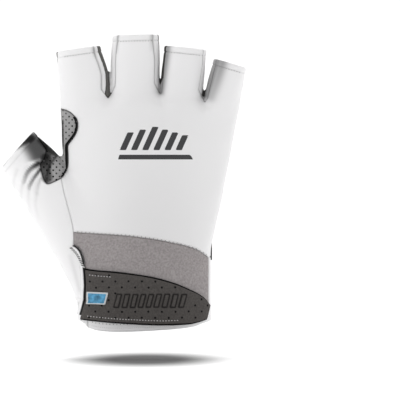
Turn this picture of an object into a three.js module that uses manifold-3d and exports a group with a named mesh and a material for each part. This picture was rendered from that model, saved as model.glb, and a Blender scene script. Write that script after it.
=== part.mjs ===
// A half-finger fishing glove for the right hand, in the shape it has when worn.
// Frame: X across the hand with the thumb at -X, Y from the back of the hand to the palm, Z towards
// the fingers. The origin is the centre of the wrist opening. Millimetres.
import * as THREE from 'three';
import { mergeVertices } from 'three/addons/utils/BufferGeometryUtils.js';
import Module from 'manifold-3d';

const wasm = await Module();
wasm.setup();

// Driving dimensions
const gloveLength = 160;
const wristWidth = 72;
const wristDepth = 35;
const palmWidth = 94.5;
const palmDepth = 31;
const archHeight = 2.2;
const fingerWidth = 24;
const fingerDepth = 20.5;
const fingerRoot = 20;
const thumbWidth = 26;
const thumbDepth = 25;
const wall = 1.4;
const seamGap = 0.3;
const layerGap = 0.3;
const gussetWidth = 9.4;
const hemHeight = 5.6;
const sideStripWidth = 2.4;
const bindingWidth = 2.4;
const bindingThickness = 1.2;
const edgingWidth = 2;
const edgingThickness = 1;
const hookBacking = 0.8;
const strapThickness = 1.2;
const strapEdge = 0.8;
const ribHeight = 0.5;
const ribWidth = 2.1;
const ribPitch = 4.2;
const ribLength = 6.5;
const ribLean = 1.6;
const labelThickness = 0.7;
const tabWidth = 12;
const tabThickness = 1.2;
const tabSewnLength = 12;
const tabFreeLength = 9;
const tabCurl = 3.2;
const tabCurlStart = 1.5;
const webbingWidth = 10;
const webbingThickness = 1.2;
const sliderLength = 5;
const sliderWall = 1.2;
const sliderRim = 1.8;
const hookDiameter = 11;
const hookWire = 2.6;
const hookBarLength = 4;

// Where the narrow wrist starts to widen, and where it has the full width of the knuckles
const widenFrom = 0.25;
const widenTo = 0.71;
const past = 3;
const far = 2 * (palmWidth + gloveLength);

const palmSides = 40;
const fingerSides = 24;
const thumbSides = 28;

// Sections of the hand. up: share of the glove's length. left, right: share of the width there.
// back, palm: share of the depth there. lean: share of the palm's depth. power: roundness.
const handSections = [
  { up: -0.013, left: 0.5, right: 0.493, back: 0.486, palm: 0.514, lean: 0, power: 2.3 },
  { up: 0.1, left: 0.507, right: 0.494, back: 0.486, palm: 0.514, lean: 0, power: 2.3 },
  { up: 0.25, left: 0.507, right: 0.489, back: 0.486, palm: 0.529, lean: 0, power: 2.3 },
  { up: 0.331, left: 0.512, right: 0.505, back: 0.461, palm: 0.519, lean: 0, power: 2.35 },
  { up: 0.438, left: 0.512, right: 0.511, back: 0.418, palm: 0.507, lean: 0, power: 2.4 },
  { up: 0.531, left: 0.508, right: 0.505, back: 0.418, palm: 0.495, lean: 0, power: 2.5 },
  { up: 0.625, left: 0.482, right: 0.507, back: 0.414, palm: 0.478, lean: 0, power: 2.6 },
  { up: 0.744, left: 0.47, right: 0.524, back: 0.375, palm: 0.42, lean: 0, power: 2.6 },
  { up: 0.788, left: 0.46, right: 0.524, back: 0.3, palm: 0.355, lean: 0.01, power: 2.6 },
  { up: 0.82, left: 0.42, right: 0.49, back: 0.2, palm: 0.27, lean: 0.07, power: 2.5 },
  { up: 0.845, left: 0.39, right: 0.46, back: 0.08, palm: 0.145, lean: 0.13, power: 2.4 },
];

// The four half fingers. across, up: share of the palm's width and of the length, at the web and at
// the opening. web: share of the palm's width. mouth: share of fingerWidth. tilt: slope of the mouth.
const fingers = [
  { name: 'index', across: -0.343, up: 0.746, mouthAcross: -0.38, mouthUp: 0.952, web: 0.262,
    mouth: 0.975, tilt: 0.138 },
  { name: 'middle', across: -0.06, up: 0.786, mouthAcross: -0.054, mouthUp: 0.998, web: 0.291,
    mouth: 1.012, tilt: 0.02 },
  { name: 'ring', across: 0.203, up: 0.786, mouthAcross: 0.232, mouthUp: 0.955, web: 0.246,
    mouth: 0.925, tilt: -0.1 },
  { name: 'pinky', across: 0.434, up: 0.769, mouthAcross: 0.486, mouthUp: 0.903, web: 0.205,
    mouth: 0.745, tilt: -0.285 },
];

// Sections of the thumb. across: share of the width at that height. up: share of the length.
// turn: degrees. half: share of thumbWidth. back, palm, lean: share of thumbDepth.
const thumbSections = [
  { across: -0.333, up: 0.138, turn: 8, half: 0.5, back: 0.44, palm: 0.5, lean: 0 },
  { across: -0.431, up: 0.25, turn: 18, half: 0.59, back: 0.48, palm: 0.6, lean: 0 },
  { across: -0.539, up: 0.375, turn: 28, half: 0.64, back: 0.48, palm: 0.66, lean: 0 },
  { across: -0.642, up: 0.503, turn: 40, half: 0.6, back: 0.48, palm: 0.56, lean: 0 },
  { across: -0.753, up: 0.611, turn: 48.4, half: 0.5, back: 0.48, palm: 0.5, lean: 0.06 },
];

// Seam and edge lines. across: share of the glove's width at that height; up: share of its length.
const patchRightLine = [
  { across: -0.45, up: 0.744 }, { across: -0.417, up: 0.733 }, { across: -0.388, up: 0.712 },
  { across: -0.384, up: 0.689 }, { across: -0.397, up: 0.665 }, { across: -0.43, up: 0.64 },
  { across: -0.45, up: 0.624 }, { across: -0.456, up: 0.594 }, { across: -0.468, up: 0.56 },
  { across: -0.489, up: 0.537 }, { across: -0.522, up: 0.516 },
];
const patchLeftLine = [
  { across: -0.572, up: 0.504 }, { across: -0.621, up: 0.496 }, { across: -0.635, up: 0.516 },
  { across: -0.632, up: 0.56 }, { across: -0.598, up: 0.584 }, { across: -0.56, up: 0.65 },
  { across: -0.55, up: 0.76 },
];
const thumbSeamLine = [
  { across: -0.522, up: 0.516 }, { across: -0.527, up: 0.476 }, { across: -0.525, up: 0.425 },
  { across: -0.518, up: 0.374 }, { across: -0.518, up: 0.334 }, { across: -0.528, up: 0.29 },
];
const slitLine = [
  { across: -0.528, up: 0.29 }, { across: -0.487, up: 0.27 }, { across: -0.457, up: 0.233 },
  { across: -0.446, up: 0.189 }, { across: -0.446, up: 0.121 }, { across: -0.465, up: 0.077 },
  { across: -0.488, up: 0.037 }, { across: -0.5, up: -0.025 },
];
const thumbInnerLine = [
  { across: -0.78, up: 0.75 }, { across: -0.675, up: 0.655 }, { across: -0.598, up: 0.584 },
  { across: -0.549, up: 0.537 },
];
const loopTopLine = [
  { across: -0.56, up: 0.336 }, { across: -0.518, up: 0.334 }, { across: -0.33, up: 0.328 },
  { across: -0.11, up: 0.321 }, { across: 0.111, up: 0.307 }, { across: 0.336, up: 0.284 },
  { across: 0.45, up: 0.258 }, { across: 0.6, up: 0.2 },
];
const hemLine = [
  { across: -0.7, up: 0.06 }, { across: -0.488, up: 0.034 }, { across: -0.412, up: 0.01 },
  { across: -0.262, up: 0 }, { across: 0.038, up: 0.003 }, { across: 0.338, up: 0.014 },
  { across: 0.465, up: 0.031 }, { across: 0.7, up: 0.06 },
];
const strapTopLine = [
  { across: -0.435, up: 0.212 }, { across: -0.262, up: 0.208 }, { across: -0.038, up: 0.194 },
  { across: 0.15, up: 0.174 }, { across: 0.3, up: 0.15 }, { across: 0.412, up: 0.118 },
  { across: 0.466, up: 0.093 }, { across: 0.478, up: 0.068 },
];
const strapBottomLine = [
  { across: 0.478, up: 0.068 }, { across: 0.445, up: 0.042 }, { across: 0.3, up: 0.024 },
  { across: 0.038, up: 0.022 }, { across: -0.262, up: 0.031 }, { across: -0.45, up: 0.042 },
];
const palmCutLine = [
  { across: 0.7, up: 0.236 }, { across: 0.518, up: 0.234 }, { across: 0.292, up: 0.225 },
  { across: 0.09, up: 0.193 }, { across: -0.022, up: 0.149 }, { across: -0.075, up: 0.118 },
  { across: -0.262, up: 0.115 }, { across: -0.333, up: 0.097 }, { across: -0.431, up: 0.066 },
  { across: -0.7, up: 0.03 },
];
const leatherLine = [
  { across: -0.262, up: 0.06 }, { across: -0.262, up: 0.125 }, { across: -0.3, up: 0.186 },
  { across: -0.347, up: 0.216 }, { across: -0.483, up: 0.286 }, { across: -0.591, up: 0.351 },
  { across: -0.72, up: 0.445 }, { across: -0.829, up: 0.526 }, { across: -0.96, up: 0.62 },
];
const labelCorners = [
  { across: -0.428, up: 0.135 }, { across: -0.278, up: 0.13 }, { across: -0.296, up: 0.089 },
  { across: -0.428, up: 0.094 },
];
const ribRow = { across: -0.22, up: 0.084, count: 9 };
const clipPlace = { across: 0.286, up: 0.27, edgeTurn: 16 };

// Shared measures

function widthAt(up) {
  return THREE.MathUtils.lerp(wristWidth, palmWidth, THREE.MathUtils.smoothstep(up, widenFrom, widenTo));
}

function depthAt(up) {
  return THREE.MathUtils.lerp(wristDepth, palmDepth, THREE.MathUtils.smoothstep(up, widenFrom, widenTo));
}

function place({ across, up }) {
  return new THREE.Vector2(across * widthAt(up), up * gloveLength);
}

function curved(line, stepsPerRow = 2) {
  return new THREE.SplineCurve(line.map(place)).getPoints(stepsPerRow * (line.length - 1));
}

function archRise(x) {
  return archHeight * (x / (palmWidth / 2)) ** 2;
}

// Sections and lofts

function between(rows, share) {
  const index = Math.min(Math.floor(share), rows.length - 2);
  const t = share - index;
  const around = [index - 1, index, index + 1, index + 2]
    .map((i) => rows[THREE.MathUtils.clamp(i, 0, rows.length - 1)]);
  const mixed = {};
  for (const key of Object.keys(rows[0])) {
    const [a, b, c, d] = around.map((row) => row[key]);
    const slope = c - a;
    const bend = 2 * a - 5 * b + 4 * c - d;
    mixed[key] = b + 0.5 * t * (slope + t * (bend + t * (3 * b - a - 3 * c + d)));
  }
  return mixed;
}

function smoothRows(rows, steps) {
  const count = steps * (rows.length - 1);
  return Array.from({ length: count + 1 }, (_, i) => between(rows, i / steps));
}

// A point of a section's outline, at an angle from the thumb-to-finger axis towards the palm
function outlinePoint(section, angle, grow) {
  const c = Math.cos(angle);
  const s = Math.sin(angle);
  const power = 2 / section.power;
  const side = (c > 0 ? section.right : section.left) + grow;
  const deep = (s > 0 ? section.palm : section.back) + grow;
  const across = Math.sign(c) * Math.abs(c) ** power * side;
  return new THREE.Vector3(
    section.x + across * Math.cos(section.turn),
    section.y + Math.sign(s) * Math.abs(s) ** power * deep,
    section.z + across * Math.sin(section.turn),
  );
}

function loft(sections, grow, sides) {
  const points = [];
  const faces = [];
  for (const section of sections) {
    for (let i = 0; i < sides; i += 1) {
      points.push(outlinePoint(section, (2 * Math.PI * i) / sides, grow));
    }
  }
  for (let row = 0; row < sections.length - 1; row += 1) {
    for (let i = 0; i < sides; i += 1) {
      const a = row * sides + i;
      const b = row * sides + ((i + 1) % sides);
      faces.push(a, b, b + sides, a, b + sides, a + sides);
    }
  }
  const last = (sections.length - 1) * sides;
  const bottom = points.push(middleOf(points.slice(0, sides))) - 1;
  const top = points.push(middleOf(points.slice(last, last + sides))) - 1;
  for (let i = 0; i < sides; i += 1) {
    const next = (i + 1) % sides;
    faces.push(bottom, next, i, top, last + i, last + next);
  }
  const geometry = new THREE.BufferGeometry().setFromPoints(points);
  geometry.setIndex(faces);
  return solid(geometry);
}

function middleOf(points) {
  const sum = points.reduce((total, point) => total.add(point), new THREE.Vector3());
  return sum.divideScalar(points.length);
}

function handRow(row) {
  const wide = widthAt(row.up);
  const deep = depthAt(row.up);
  return {
    x: 0,
    y: row.lean * palmDepth,
    z: row.up * gloveLength,
    turn: 0,
    left: row.left * wide,
    right: row.right * wide,
    back: row.back * deep,
    palm: row.palm * deep,
    power: row.power,
  };
}

function handForm(grow, extend) {
  const sections = smoothRows(handSections, 1.5).map(handRow);
  sections[0].z -= extend;
  sections.at(-1).z += grow;
  return loft(sections, grow, palmSides);
}

function fingerFrame(finger) {
  const root = new THREE.Vector2(finger.across * palmWidth, finger.up * gloveLength);
  const mouth = new THREE.Vector2(finger.mouthAcross * palmWidth, finger.mouthUp * gloveLength);
  const along = mouth.clone().sub(root);
  return { root, mouth, length: along.length(), along: along.normalize() };
}

// Sections of a finger, from inside the hand to its mouth. at: share of the way from the web to the
// mouth. wide: share of the straight taper's width. deep: share of the finger's depth.
const fingerRows = [
  { at: -0.6, wide: 0.7, deep: 0.6 },
  { at: -0.15, wide: 0.97, deep: 0.98 },
  { at: 0.2, wide: 1.01, deep: 1 },
  { at: 0.55, wide: 1.035, deep: 1 },
  { at: 1, wide: 1, deep: 1 },
];

function fingerForm(finger, grow, extend) {
  const { root, mouth, along } = fingerFrame(finger);
  const sections = fingerRows.map(({ at, wide, deep }) => {
    const far01 = Math.max(at, 0);
    const middle = at < 0
      ? root.clone().addScaledVector(along, (at / 0.6) * fingerRoot)
      : root.clone().lerp(mouth, at);
    const width = THREE.MathUtils.lerp(finger.web * palmWidth, finger.mouth * fingerWidth, far01) * wide;
    return {
      x: middle.x,
      y: 0,
      z: middle.y,
      turn: Math.atan(finger.tilt) * far01,
      left: width / 2,
      right: width / 2,
      back: (fingerDepth / 2) * deep,
      palm: (fingerDepth / 2) * deep,
      power: 2.2,
    };
  });
  const end = sections.at(-1);
  end.x += along.x * extend;
  end.z += along.y * extend;
  return { solid: loft(sections, grow, fingerSides), end };
}

function thumbForm(grow, extend) {
  const sections = smoothRows(thumbSections, 2).map((row) => {
    const middle = place(row);
    return {
      x: middle.x,
      y: row.lean * thumbDepth,
      z: middle.y,
      turn: THREE.MathUtils.degToRad(row.turn),
      left: row.half * thumbWidth,
      right: row.half * thumbWidth,
      back: row.back * thumbDepth,
      palm: row.palm * thumbDepth,
      power: 2.1,
    };
  });
  const end = sections.at(-1);
  end.x -= Math.sin(end.turn) * extend;
  end.z += Math.cos(end.turn) * extend;
  return loft(sections, grow, thumbSides);
}

const forms = new Map();

// The whole hand's form, grown by an offset from the outer face of the cloth
function form(grow, extend = 0) {
  const key = `${grow} ${extend}`;
  if (!forms.has(key)) {
    let body = handForm(grow, extend).add(thumbForm(grow, extend));
    for (const finger of fingers) {
      body = body.add(fingerForm(finger, grow, extend).solid);
    }
    forms.set(key, body);
  }
  return forms.get(key);
}

// Solids and cutters

function solid(geometry) {
  const bare = geometry.clone();
  bare.deleteAttribute('normal');
  bare.deleteAttribute('uv');
  const merged = mergeVertices(bare, 1e-4);
  return new wasm.Manifold(new wasm.Mesh({
    numProp: 3,
    vertProperties: new Float32Array(merged.attributes.position.array),
    triVerts: new Uint32Array(merged.index.array),
  }));
}

function largest(body) {
  return body.decompose().reduce((best, next) => (next.volume() > best.volume() ? next : best));
}

// A straight cutter with an outline in X and Z, between two depths
function prism(points, from, to) {
  const shape = new THREE.Shape(points);
  const geometry = new THREE.ExtrudeGeometry(shape, { depth: to - from, bevelEnabled: false });
  geometry.rotateX(Math.PI / 2);
  geometry.translate(0, to, 0);
  return solid(geometry);
}

function grown(points, distance) {
  const ring = THREE.ShapeUtils.area(points) > 0 ? points : [...points].reverse();
  return ring.map((point, i) => {
    const before = ring[(i + ring.length - 1) % ring.length];
    const after = ring[(i + 1) % ring.length];
    const first = point.clone().sub(before).normalize();
    const second = after.clone().sub(point).normalize();
    const out = new THREE.Vector2(first.y + second.y, -first.x - second.x);
    const stretch = Math.max(1 + first.dot(second), 0.5);
    return point.clone().addScaledVector(out, distance / stretch);
  });
}

// A strip of even width on the left of a line
function strip(points, width) {
  const side = points.map((point, i) => {
    const before = points[Math.max(i - 1, 0)];
    const after = points[Math.min(i + 1, points.length - 1)];
    const along = after.clone().sub(before).normalize();
    return point.clone().add(new THREE.Vector2(along.y, -along.x).multiplyScalar(width));
  });
  return [...points, ...side.reverse()];
}

// The part of a layer over the cloth that lies inside an outline
function overlay(points, from, thickness, low, high) {
  const cutter = prism(points, low, high);
  return form(from + thickness).intersect(cutter).subtract(form(from));
}

// Pieces cut from the shell

let rest = form(0).subtract(form(-wall, past));
const pieces = new Map();

function cutAway(points, low, high) {
  rest = rest.subtract(prism(points, low, high));
}

// Takes the part of the shell inside the cutters, and leaves a seam's gap around it
function take(name, cutters) {
  let piece = null;
  for (const { points, low, high } of cutters) {
    const inside = rest.intersect(prism(points, low, high));
    piece = piece ? piece.add(inside) : inside;
  }
  for (const { points, low, high } of cutters) {
    rest = rest.subtract(prism(grown(points, seamGap), low - seamGap, high + seamGap));
  }
  pieces.set(name, largest(piece));
}

const corner = (x, z) => new THREE.Vector2(x, z);
const lowLeft = corner(-far, -far);
const lowRight = corner(far, -far);

const hem = curved(hemLine);
const palmCut = curved(palmCutLine);
cutAway([lowLeft, corner(-far, hem[0].y), ...hem, corner(far, hem.at(-1).y), lowRight], -far, far);
cutAway([lowRight, corner(far, palmCut[0].y), ...palmCut, corner(-far, palmCut.at(-1).y), lowLeft], 0, far);

for (let i = 0; i < fingers.length - 1; i += 1) {
  const [one, other] = [fingers[i], fingers[i + 1]];
  const [a, b] = [fingerFrame(one), fingerFrame(other)];
  const down = -0.1;
  const up = 1.3;
  const points = [
    a.root.clone().addScaledVector(a.along, up * a.length),
    a.root.clone().addScaledVector(a.along, down * a.length),
    b.root.clone().addScaledVector(b.along, down * b.length),
    b.root.clone().addScaledVector(b.along, up * b.length),
  ];
  take(`fourchette_${one.name}_${other.name}`, [
    { points, low: -0.66 * gussetWidth, high: 0.34 * gussetWidth },
  ]);
}

const patchRight = curved(patchRightLine);
const patchLeft = curved(patchLeftLine);
take('crotch_patch', [{ points: [...patchRight, ...patchLeft], low: -far, high: 0 }]);

const thumbInner = curved(thumbInnerLine, 1);
const thumbSeam = curved(thumbSeamLine);
const slit = curved(slitLine);
const leather = curved(leatherLine);
const thumbBack = [...thumbInner, ...thumbSeam, ...slit.slice(1), lowLeft, corner(-far, thumbInner[0].y)];
const thumbPalm = [lowLeft, corner(leather[0].x, -far), ...leather, corner(-far, leather.at(-1).y)];
take('thumb_panel', [
  { points: thumbBack, low: -far, high: seamGap },
  { points: thumbPalm, low: 0, high: far },
]);

const hemTop = hem.map((point) => point.clone().add(corner(0, hemHeight)));
const edgeX = (up) => 0.492 * widthAt(up) - sideStripWidth;
const sideStrip = [0, 0.12, 0.25, 0.6].map((up) => corner(edgeX(up), up * gloveLength));
take('wrist_hem', [
  { points: [lowLeft, corner(-far, hemTop[0].y), ...hemTop, corner(far, hemTop.at(-1).y), lowRight],
    low: -far, high: -seamGap / 2 },
  { points: [...sideStrip.slice(0, 3), corner(far, 0.232 * gloveLength), corner(far, 0)],
    low: -far, high: -seamGap / 2 },
]);

const loopTop = curved(loopTopLine);
take('loop_panel', [
  { points: [lowLeft, corner(-far, loopTop[0].y), ...loopTop, lowRight], low: -far, high: -seamGap / 2 },
]);

const thumbWrap = [
  corner(thumbInner[0].x, far), ...thumbInner.slice(0, 3),
  place({ across: -0.52, up: 0.6 }), place({ across: -0.5, up: 0.68 }),
  corner(place({ across: -0.56, up: 0.8 }).x, far),
];
take('palm_panel', [
  { points: [lowLeft, corner(-far, far), corner(far, far), lowRight], low: 0, high: far },
  { points: thumbWrap, low: -far, high: 0 },
]);
pieces.set('back_panel', largest(rest));

// Pieces laid over the shell

pieces.set('patch_edging', largest(overlay(
  strip(patchRight.slice(3), edgingWidth), layerGap, edgingThickness, -far, -seamGap,
)));

const bindingPath = slit.slice(0, -2);
pieces.set('slit_binding', largest(overlay(
  strip(bindingPath, bindingWidth), layerGap, bindingThickness, -far, -seamGap,
)));

const strapOutline = [...curved(strapTopLine), ...curved(strapBottomLine).slice(1)];
const strapInset = grown(strapOutline, -strapEdge);
pieces.set('strap_backing', largest(overlay(strapOutline, layerGap, hookBacking, -far, -seamGap)));

const strapFrom = layerGap + hookBacking + layerGap;
let strapFace = overlay(strapInset, strapFrom, strapThickness, -far, -seamGap);
const ribStart = place(ribRow);
for (let i = 0; i < ribRow.count; i += 1) {
  const x = ribStart.x + i * ribPitch;
  const z = ribStart.y;
  const rib = [
    corner(x, z), corner(x + ribWidth, z),
    corner(x + ribWidth + ribLean, z + ribLength), corner(x + ribLean, z + ribLength),
  ];
  strapFace = strapFace.add(overlay(rib, strapFrom, strapThickness + ribHeight, -far, 0));
}
pieces.set('strap_face', largest(strapFace));

const labelFrom = strapFrom + strapThickness + layerGap;
pieces.set('label_tag', largest(overlay(labelCorners.map(place), labelFrom, labelThickness, -far, 0)));

// A sheet of even thickness over a surface given by two shares
function sheet(point, thickness, across, along) {
  const points = [];
  const step = 1e-3;
  for (const offset of [0, thickness]) {
    for (let j = 0; j <= along; j += 1) {
      for (let i = 0; i <= across; i += 1) {
        const [u, v] = [i / across, j / along];
        const here = point(u, v);
        const du = point(u + step, v).sub(here);
        const dv = point(u, v + step).sub(here);
        points.push(here.addScaledVector(dv.cross(du).normalize(), offset));
      }
    }
  }
  const row = across + 1;
  const layer = row * (along + 1);
  const faces = [];
  const quad = (a, b, c, d) => faces.push(a, b, c, a, c, d);
  for (let j = 0; j < along; j += 1) {
    for (let i = 0; i < across; i += 1) {
      const a = j * row + i;
      quad(a, a + 1, a + 1 + row, a + row);
      quad(layer + a + row, layer + a + 1 + row, layer + a + 1, layer + a);
    }
  }
  for (let i = 0; i < across; i += 1) {
    const end = along * row + i;
    quad(i, layer + i, layer + i + 1, i + 1);
    quad(end + 1, layer + end + 1, layer + end, end);
  }
  for (let j = 0; j < along; j += 1) {
    const left = j * row;
    const right = left + across;
    quad(left + row, layer + left + row, layer + left, left);
    quad(right, layer + right, layer + right + row, right + row);
  }
  const geometry = new THREE.BufferGeometry().setFromPoints(points);
  geometry.setIndex(faces);
  return solid(geometry);
}

// A tab sewn on the palm side of a finger that runs past the mouth and curls away from it
function pullTab(finger) {
  const { end } = fingerForm(finger, 0, 0);
  const sideways = new THREE.Vector2(Math.cos(end.turn), Math.sin(end.turn));
  const along = new THREE.Vector2(-sideways.y, sideways.x);
  const total = tabSewnLength + tabFreeLength;
  return sheet((u, v) => {
    const reach = v * total - tabSewnLength;
    const turned = Math.max(reach + tabCurlStart, 0) / tabCurl;
    const out = Math.min(reach, -tabCurlStart) + tabCurl * Math.sin(turned);
    const roundEnd = Math.sqrt(Math.max(1 - Math.max((v - 0.86) / 0.16, 0) ** 2, 0.05));
    const half = (tabWidth / 2) * (1 - 0.2 * v) * roundEnd;
    const side = (2 * u - 1) * half;
    const drop = 1 - (1 - Math.abs(side / end.right) ** end.power) ** (1 / end.power);
    const follow = 1 - THREE.MathUtils.smoothstep(reach, -tabCurlStart, tabFreeLength);
    return new THREE.Vector3(
      end.x + sideways.x * side + along.x * out,
      end.palm * (1 - drop * follow) + layerGap * 1.5 + tabCurl * (1 - Math.cos(turned)),
      end.z + sideways.y * side + along.y * out,
    );
  }, tabThickness, 5, 12);
}

pieces.set('pull_tab_middle', pullTab(fingers[1]));
pieces.set('pull_tab_ring', pullTab(fingers[2]));

// The clip: webbing sewn at the edge of the palm, a slider round it, and a hook on its end

function sectionAt(up) {
  let row = 0;
  while (handSections[row + 1].up < up) {
    row += 1;
  }
  const share = (up - handSections[row].up) / (handSections[row + 1].up - handSections[row].up);
  return handRow(between(handSections, row + share));
}

const clipSection = sectionAt(clipPlace.up);
const clipX = clipPlace.across * widthAt(clipPlace.up);
const clipZ = clipPlace.up * gloveLength;

function palmPoint(angle, lift) {
  const point = outlinePoint(clipSection, angle, lift);
  return new THREE.Vector2(point.x, point.y + archRise(point.x));
}

const clipAngle = Math.acos((clipX / clipSection.right) ** (clipSection.power / 2));
const clipSeat = palmPoint(clipAngle, 0);
const nearby = palmPoint(clipAngle - 0.05, 0);
const clipTilt = Math.atan2(nearby.y - clipSeat.y, nearby.x - clipSeat.x);
const hookSlot = hookBarLength - hookWire / 2 - layerGap;
const clipLift = layerGap + sliderWall + layerGap + webbingThickness / 2;
const clipAlong = new THREE.Vector2(Math.cos(clipTilt), Math.sin(clipTilt));
const clipOut = new THREE.Vector2(-clipAlong.y, clipAlong.x);

function clipPoint(along, lift) {
  return clipSeat.clone().addScaledVector(clipAlong, along).addScaledVector(clipOut, lift);
}

function webbingSolid() {
  const lowest = 3 * layerGap + webbingThickness / 2;
  const path = [clipPoint(-sliderLength / 2 - hookSlot, clipLift),
    clipPoint(sliderLength / 2 + layerGap, clipLift)];
  const edgeAngle = THREE.MathUtils.degToRad(clipPlace.edgeTurn);
  for (let i = 3; i <= 8; i += 1) {
    const t = i / 8;
    const lift = THREE.MathUtils.lerp(clipLift, lowest, THREE.MathUtils.smoothstep(t, 0.2, 0.8));
    path.push(palmPoint(THREE.MathUtils.lerp(clipAngle, edgeAngle, t), lift));
  }
  const line = new THREE.SplineCurve(path).getPoints(18);
  const half = webbingThickness / 2;
  const outline = [...strip(line, half).slice(line.length).reverse(), ...strip(line, -half).slice(line.length)];
  return alongZ(outline, webbingWidth);
}

// A solid with an outline in X and Y, centred on the clip's height
function alongZ(points, height) {
  const geometry = new THREE.ExtrudeGeometry(new THREE.Shape(points), { depth: height, bevelEnabled: false });
  geometry.translate(0, 0, clipZ - height / 2);
  return solid(geometry);
}

// Places a solid made at the origin, with X along the webbing and Y out of the palm, on the palm
function onPalm(body, along) {
  const spot = clipPoint(along, clipLift);
  return body.rotate([0, 0, THREE.MathUtils.radToDeg(clipTilt)]).translate([spot.x, spot.y, clipZ]);
}

function block(x, y, z) {
  return solid(new THREE.BoxGeometry(x, y, z));
}

const tunnelDepth = webbingThickness + 2 * layerGap;
const tunnelHeight = webbingWidth + 2 * layerGap;
const sliderHeight = tunnelHeight + 2 * sliderRim;

function sliderSolid() {
  const rounded = new THREE.Shape();
  const [x, z, r] = [sliderLength / 2, sliderHeight / 2, sliderRim * 0.8];
  rounded.moveTo(-x + r, -z).lineTo(x - r, -z).absarc(x - r, -z + r, r, -Math.PI / 2, 0)
    .lineTo(x, z - r).absarc(x - r, z - r, r, 0, Math.PI / 2)
    .lineTo(-x + r, z).absarc(-x + r, z - r, r, Math.PI / 2, Math.PI)
    .lineTo(-x, -z + r).absarc(-x + r, -z + r, r, Math.PI, 1.5 * Math.PI);
  const depth = tunnelDepth + 2 * sliderWall;
  const body = prism(rounded.getPoints(4).slice(0, -1), -depth / 2, depth / 2);
  return onPalm(body.subtract(block(2 * sliderLength, tunnelDepth, tunnelHeight)), 0);
}

function hookSolid() {
  const outer = hookDiameter / 2;
  const inner = outer - hookWire;
  const depth = tunnelDepth + sliderWall;
  const shape = new THREE.Shape();
  shape.absarc(0, 0, outer, THREE.MathUtils.degToRad(-150), THREE.MathUtils.degToRad(110), false);
  shape.absarc(0, 0, inner, THREE.MathUtils.degToRad(110), THREE.MathUtils.degToRad(-150), true);
  const ring = prism(shape.getPoints(7), -depth / 2, depth / 2);
  const barEnd = outer - hookWire / 2 + hookBarLength;
  const bar = block(hookBarLength, depth, sliderHeight).translate([barEnd - hookBarLength / 2, 0, 0]);
  const slot = block(2 * hookSlot, tunnelDepth, tunnelHeight).translate([barEnd, 0, 0]);
  const along = -sliderLength / 2 - layerGap - barEnd;
  return onPalm(ring.add(bar).subtract(slot), along);
}

const clipSolids = new Map([
  ['clip_webbing', webbingSolid()],
  ['clip_slider', sliderSolid()],
  ['clip_hook', hookSolid()],
]);

// Materials and meshes

const finishes = {
  stretchFabric: { color: 0xe6e6e8, roughness: 0.75, metalness: 0 },
  perforatedLeather: { color: 0x6a6965, roughness: 0.8, metalness: 0 },
  loopFabric: { color: 0x989393, roughness: 0.95, metalness: 0 },
  strapLeather: { color: 0x55524f, roughness: 0.7, metalness: 0 },
  blackFabric: { color: 0x101011, roughness: 0.8, metalness: 0 },
  blackPlastic: { color: 0x0d0d0e, roughness: 0.35, metalness: 0 },
  labelCloth: { color: 0x3c78b4, roughness: 0.6, metalness: 0 },
};

const finishOf = {
  back_panel: 'stretchFabric',
  palm_panel: 'perforatedLeather',
  thumb_panel: 'stretchFabric',
  fourchette_index_middle: 'stretchFabric',
  fourchette_middle_ring: 'stretchFabric',
  fourchette_ring_pinky: 'stretchFabric',
  crotch_patch: 'perforatedLeather',
  patch_edging: 'blackFabric',
  loop_panel: 'loopFabric',
  wrist_hem: 'stretchFabric',
  slit_binding: 'stretchFabric',
  strap_backing: 'blackFabric',
  strap_face: 'strapLeather',
  label_tag: 'labelCloth',
  pull_tab_middle: 'perforatedLeather',
  pull_tab_ring: 'perforatedLeather',
  clip_webbing: 'blackFabric',
  clip_slider: 'blackPlastic',
  clip_hook: 'blackPlastic',
};

function meshOf(name, body, arched) {
  const { vertProperties, triVerts } = body.getMesh();
  const geometry = new THREE.BufferGeometry();
  const position = new THREE.BufferAttribute(new Float32Array(vertProperties), 3);
  if (arched) {
    for (let i = 0; i < position.count; i += 1) {
      position.setY(i, position.getY(i) + archRise(position.getX(i)));
    }
  }
  geometry.setAttribute('position', position);
  geometry.setIndex(new THREE.BufferAttribute(new Uint32Array(triVerts), 1));
  geometry.computeVertexNormals();
  const mesh = new THREE.Mesh(geometry, new THREE.MeshStandardMaterial(finishes[finishOf[name]]));
  mesh.name = name;
  return mesh;
}

const glove = new THREE.Group();
glove.name = 'half_finger_fishing_glove';
for (const [name, body] of pieces) {
  glove.add(meshOf(name, body, true));
}
for (const [name, body] of clipSolids) {
  glove.add(meshOf(name, body, false));
}

export default glove;
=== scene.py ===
"""Looks of a half-finger fishing glove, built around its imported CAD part.

Frame: X across the hand with the thumb at -X, Y from the back of the hand to the palm, Z towards the
fingers. The tables below are in millimetres or in shares of the glove's sizes; objects are in metres.
"""
import math

import bmesh
import bpy
import numpy as np
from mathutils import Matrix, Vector
from mathutils.bvhtree import BVHTree


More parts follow.
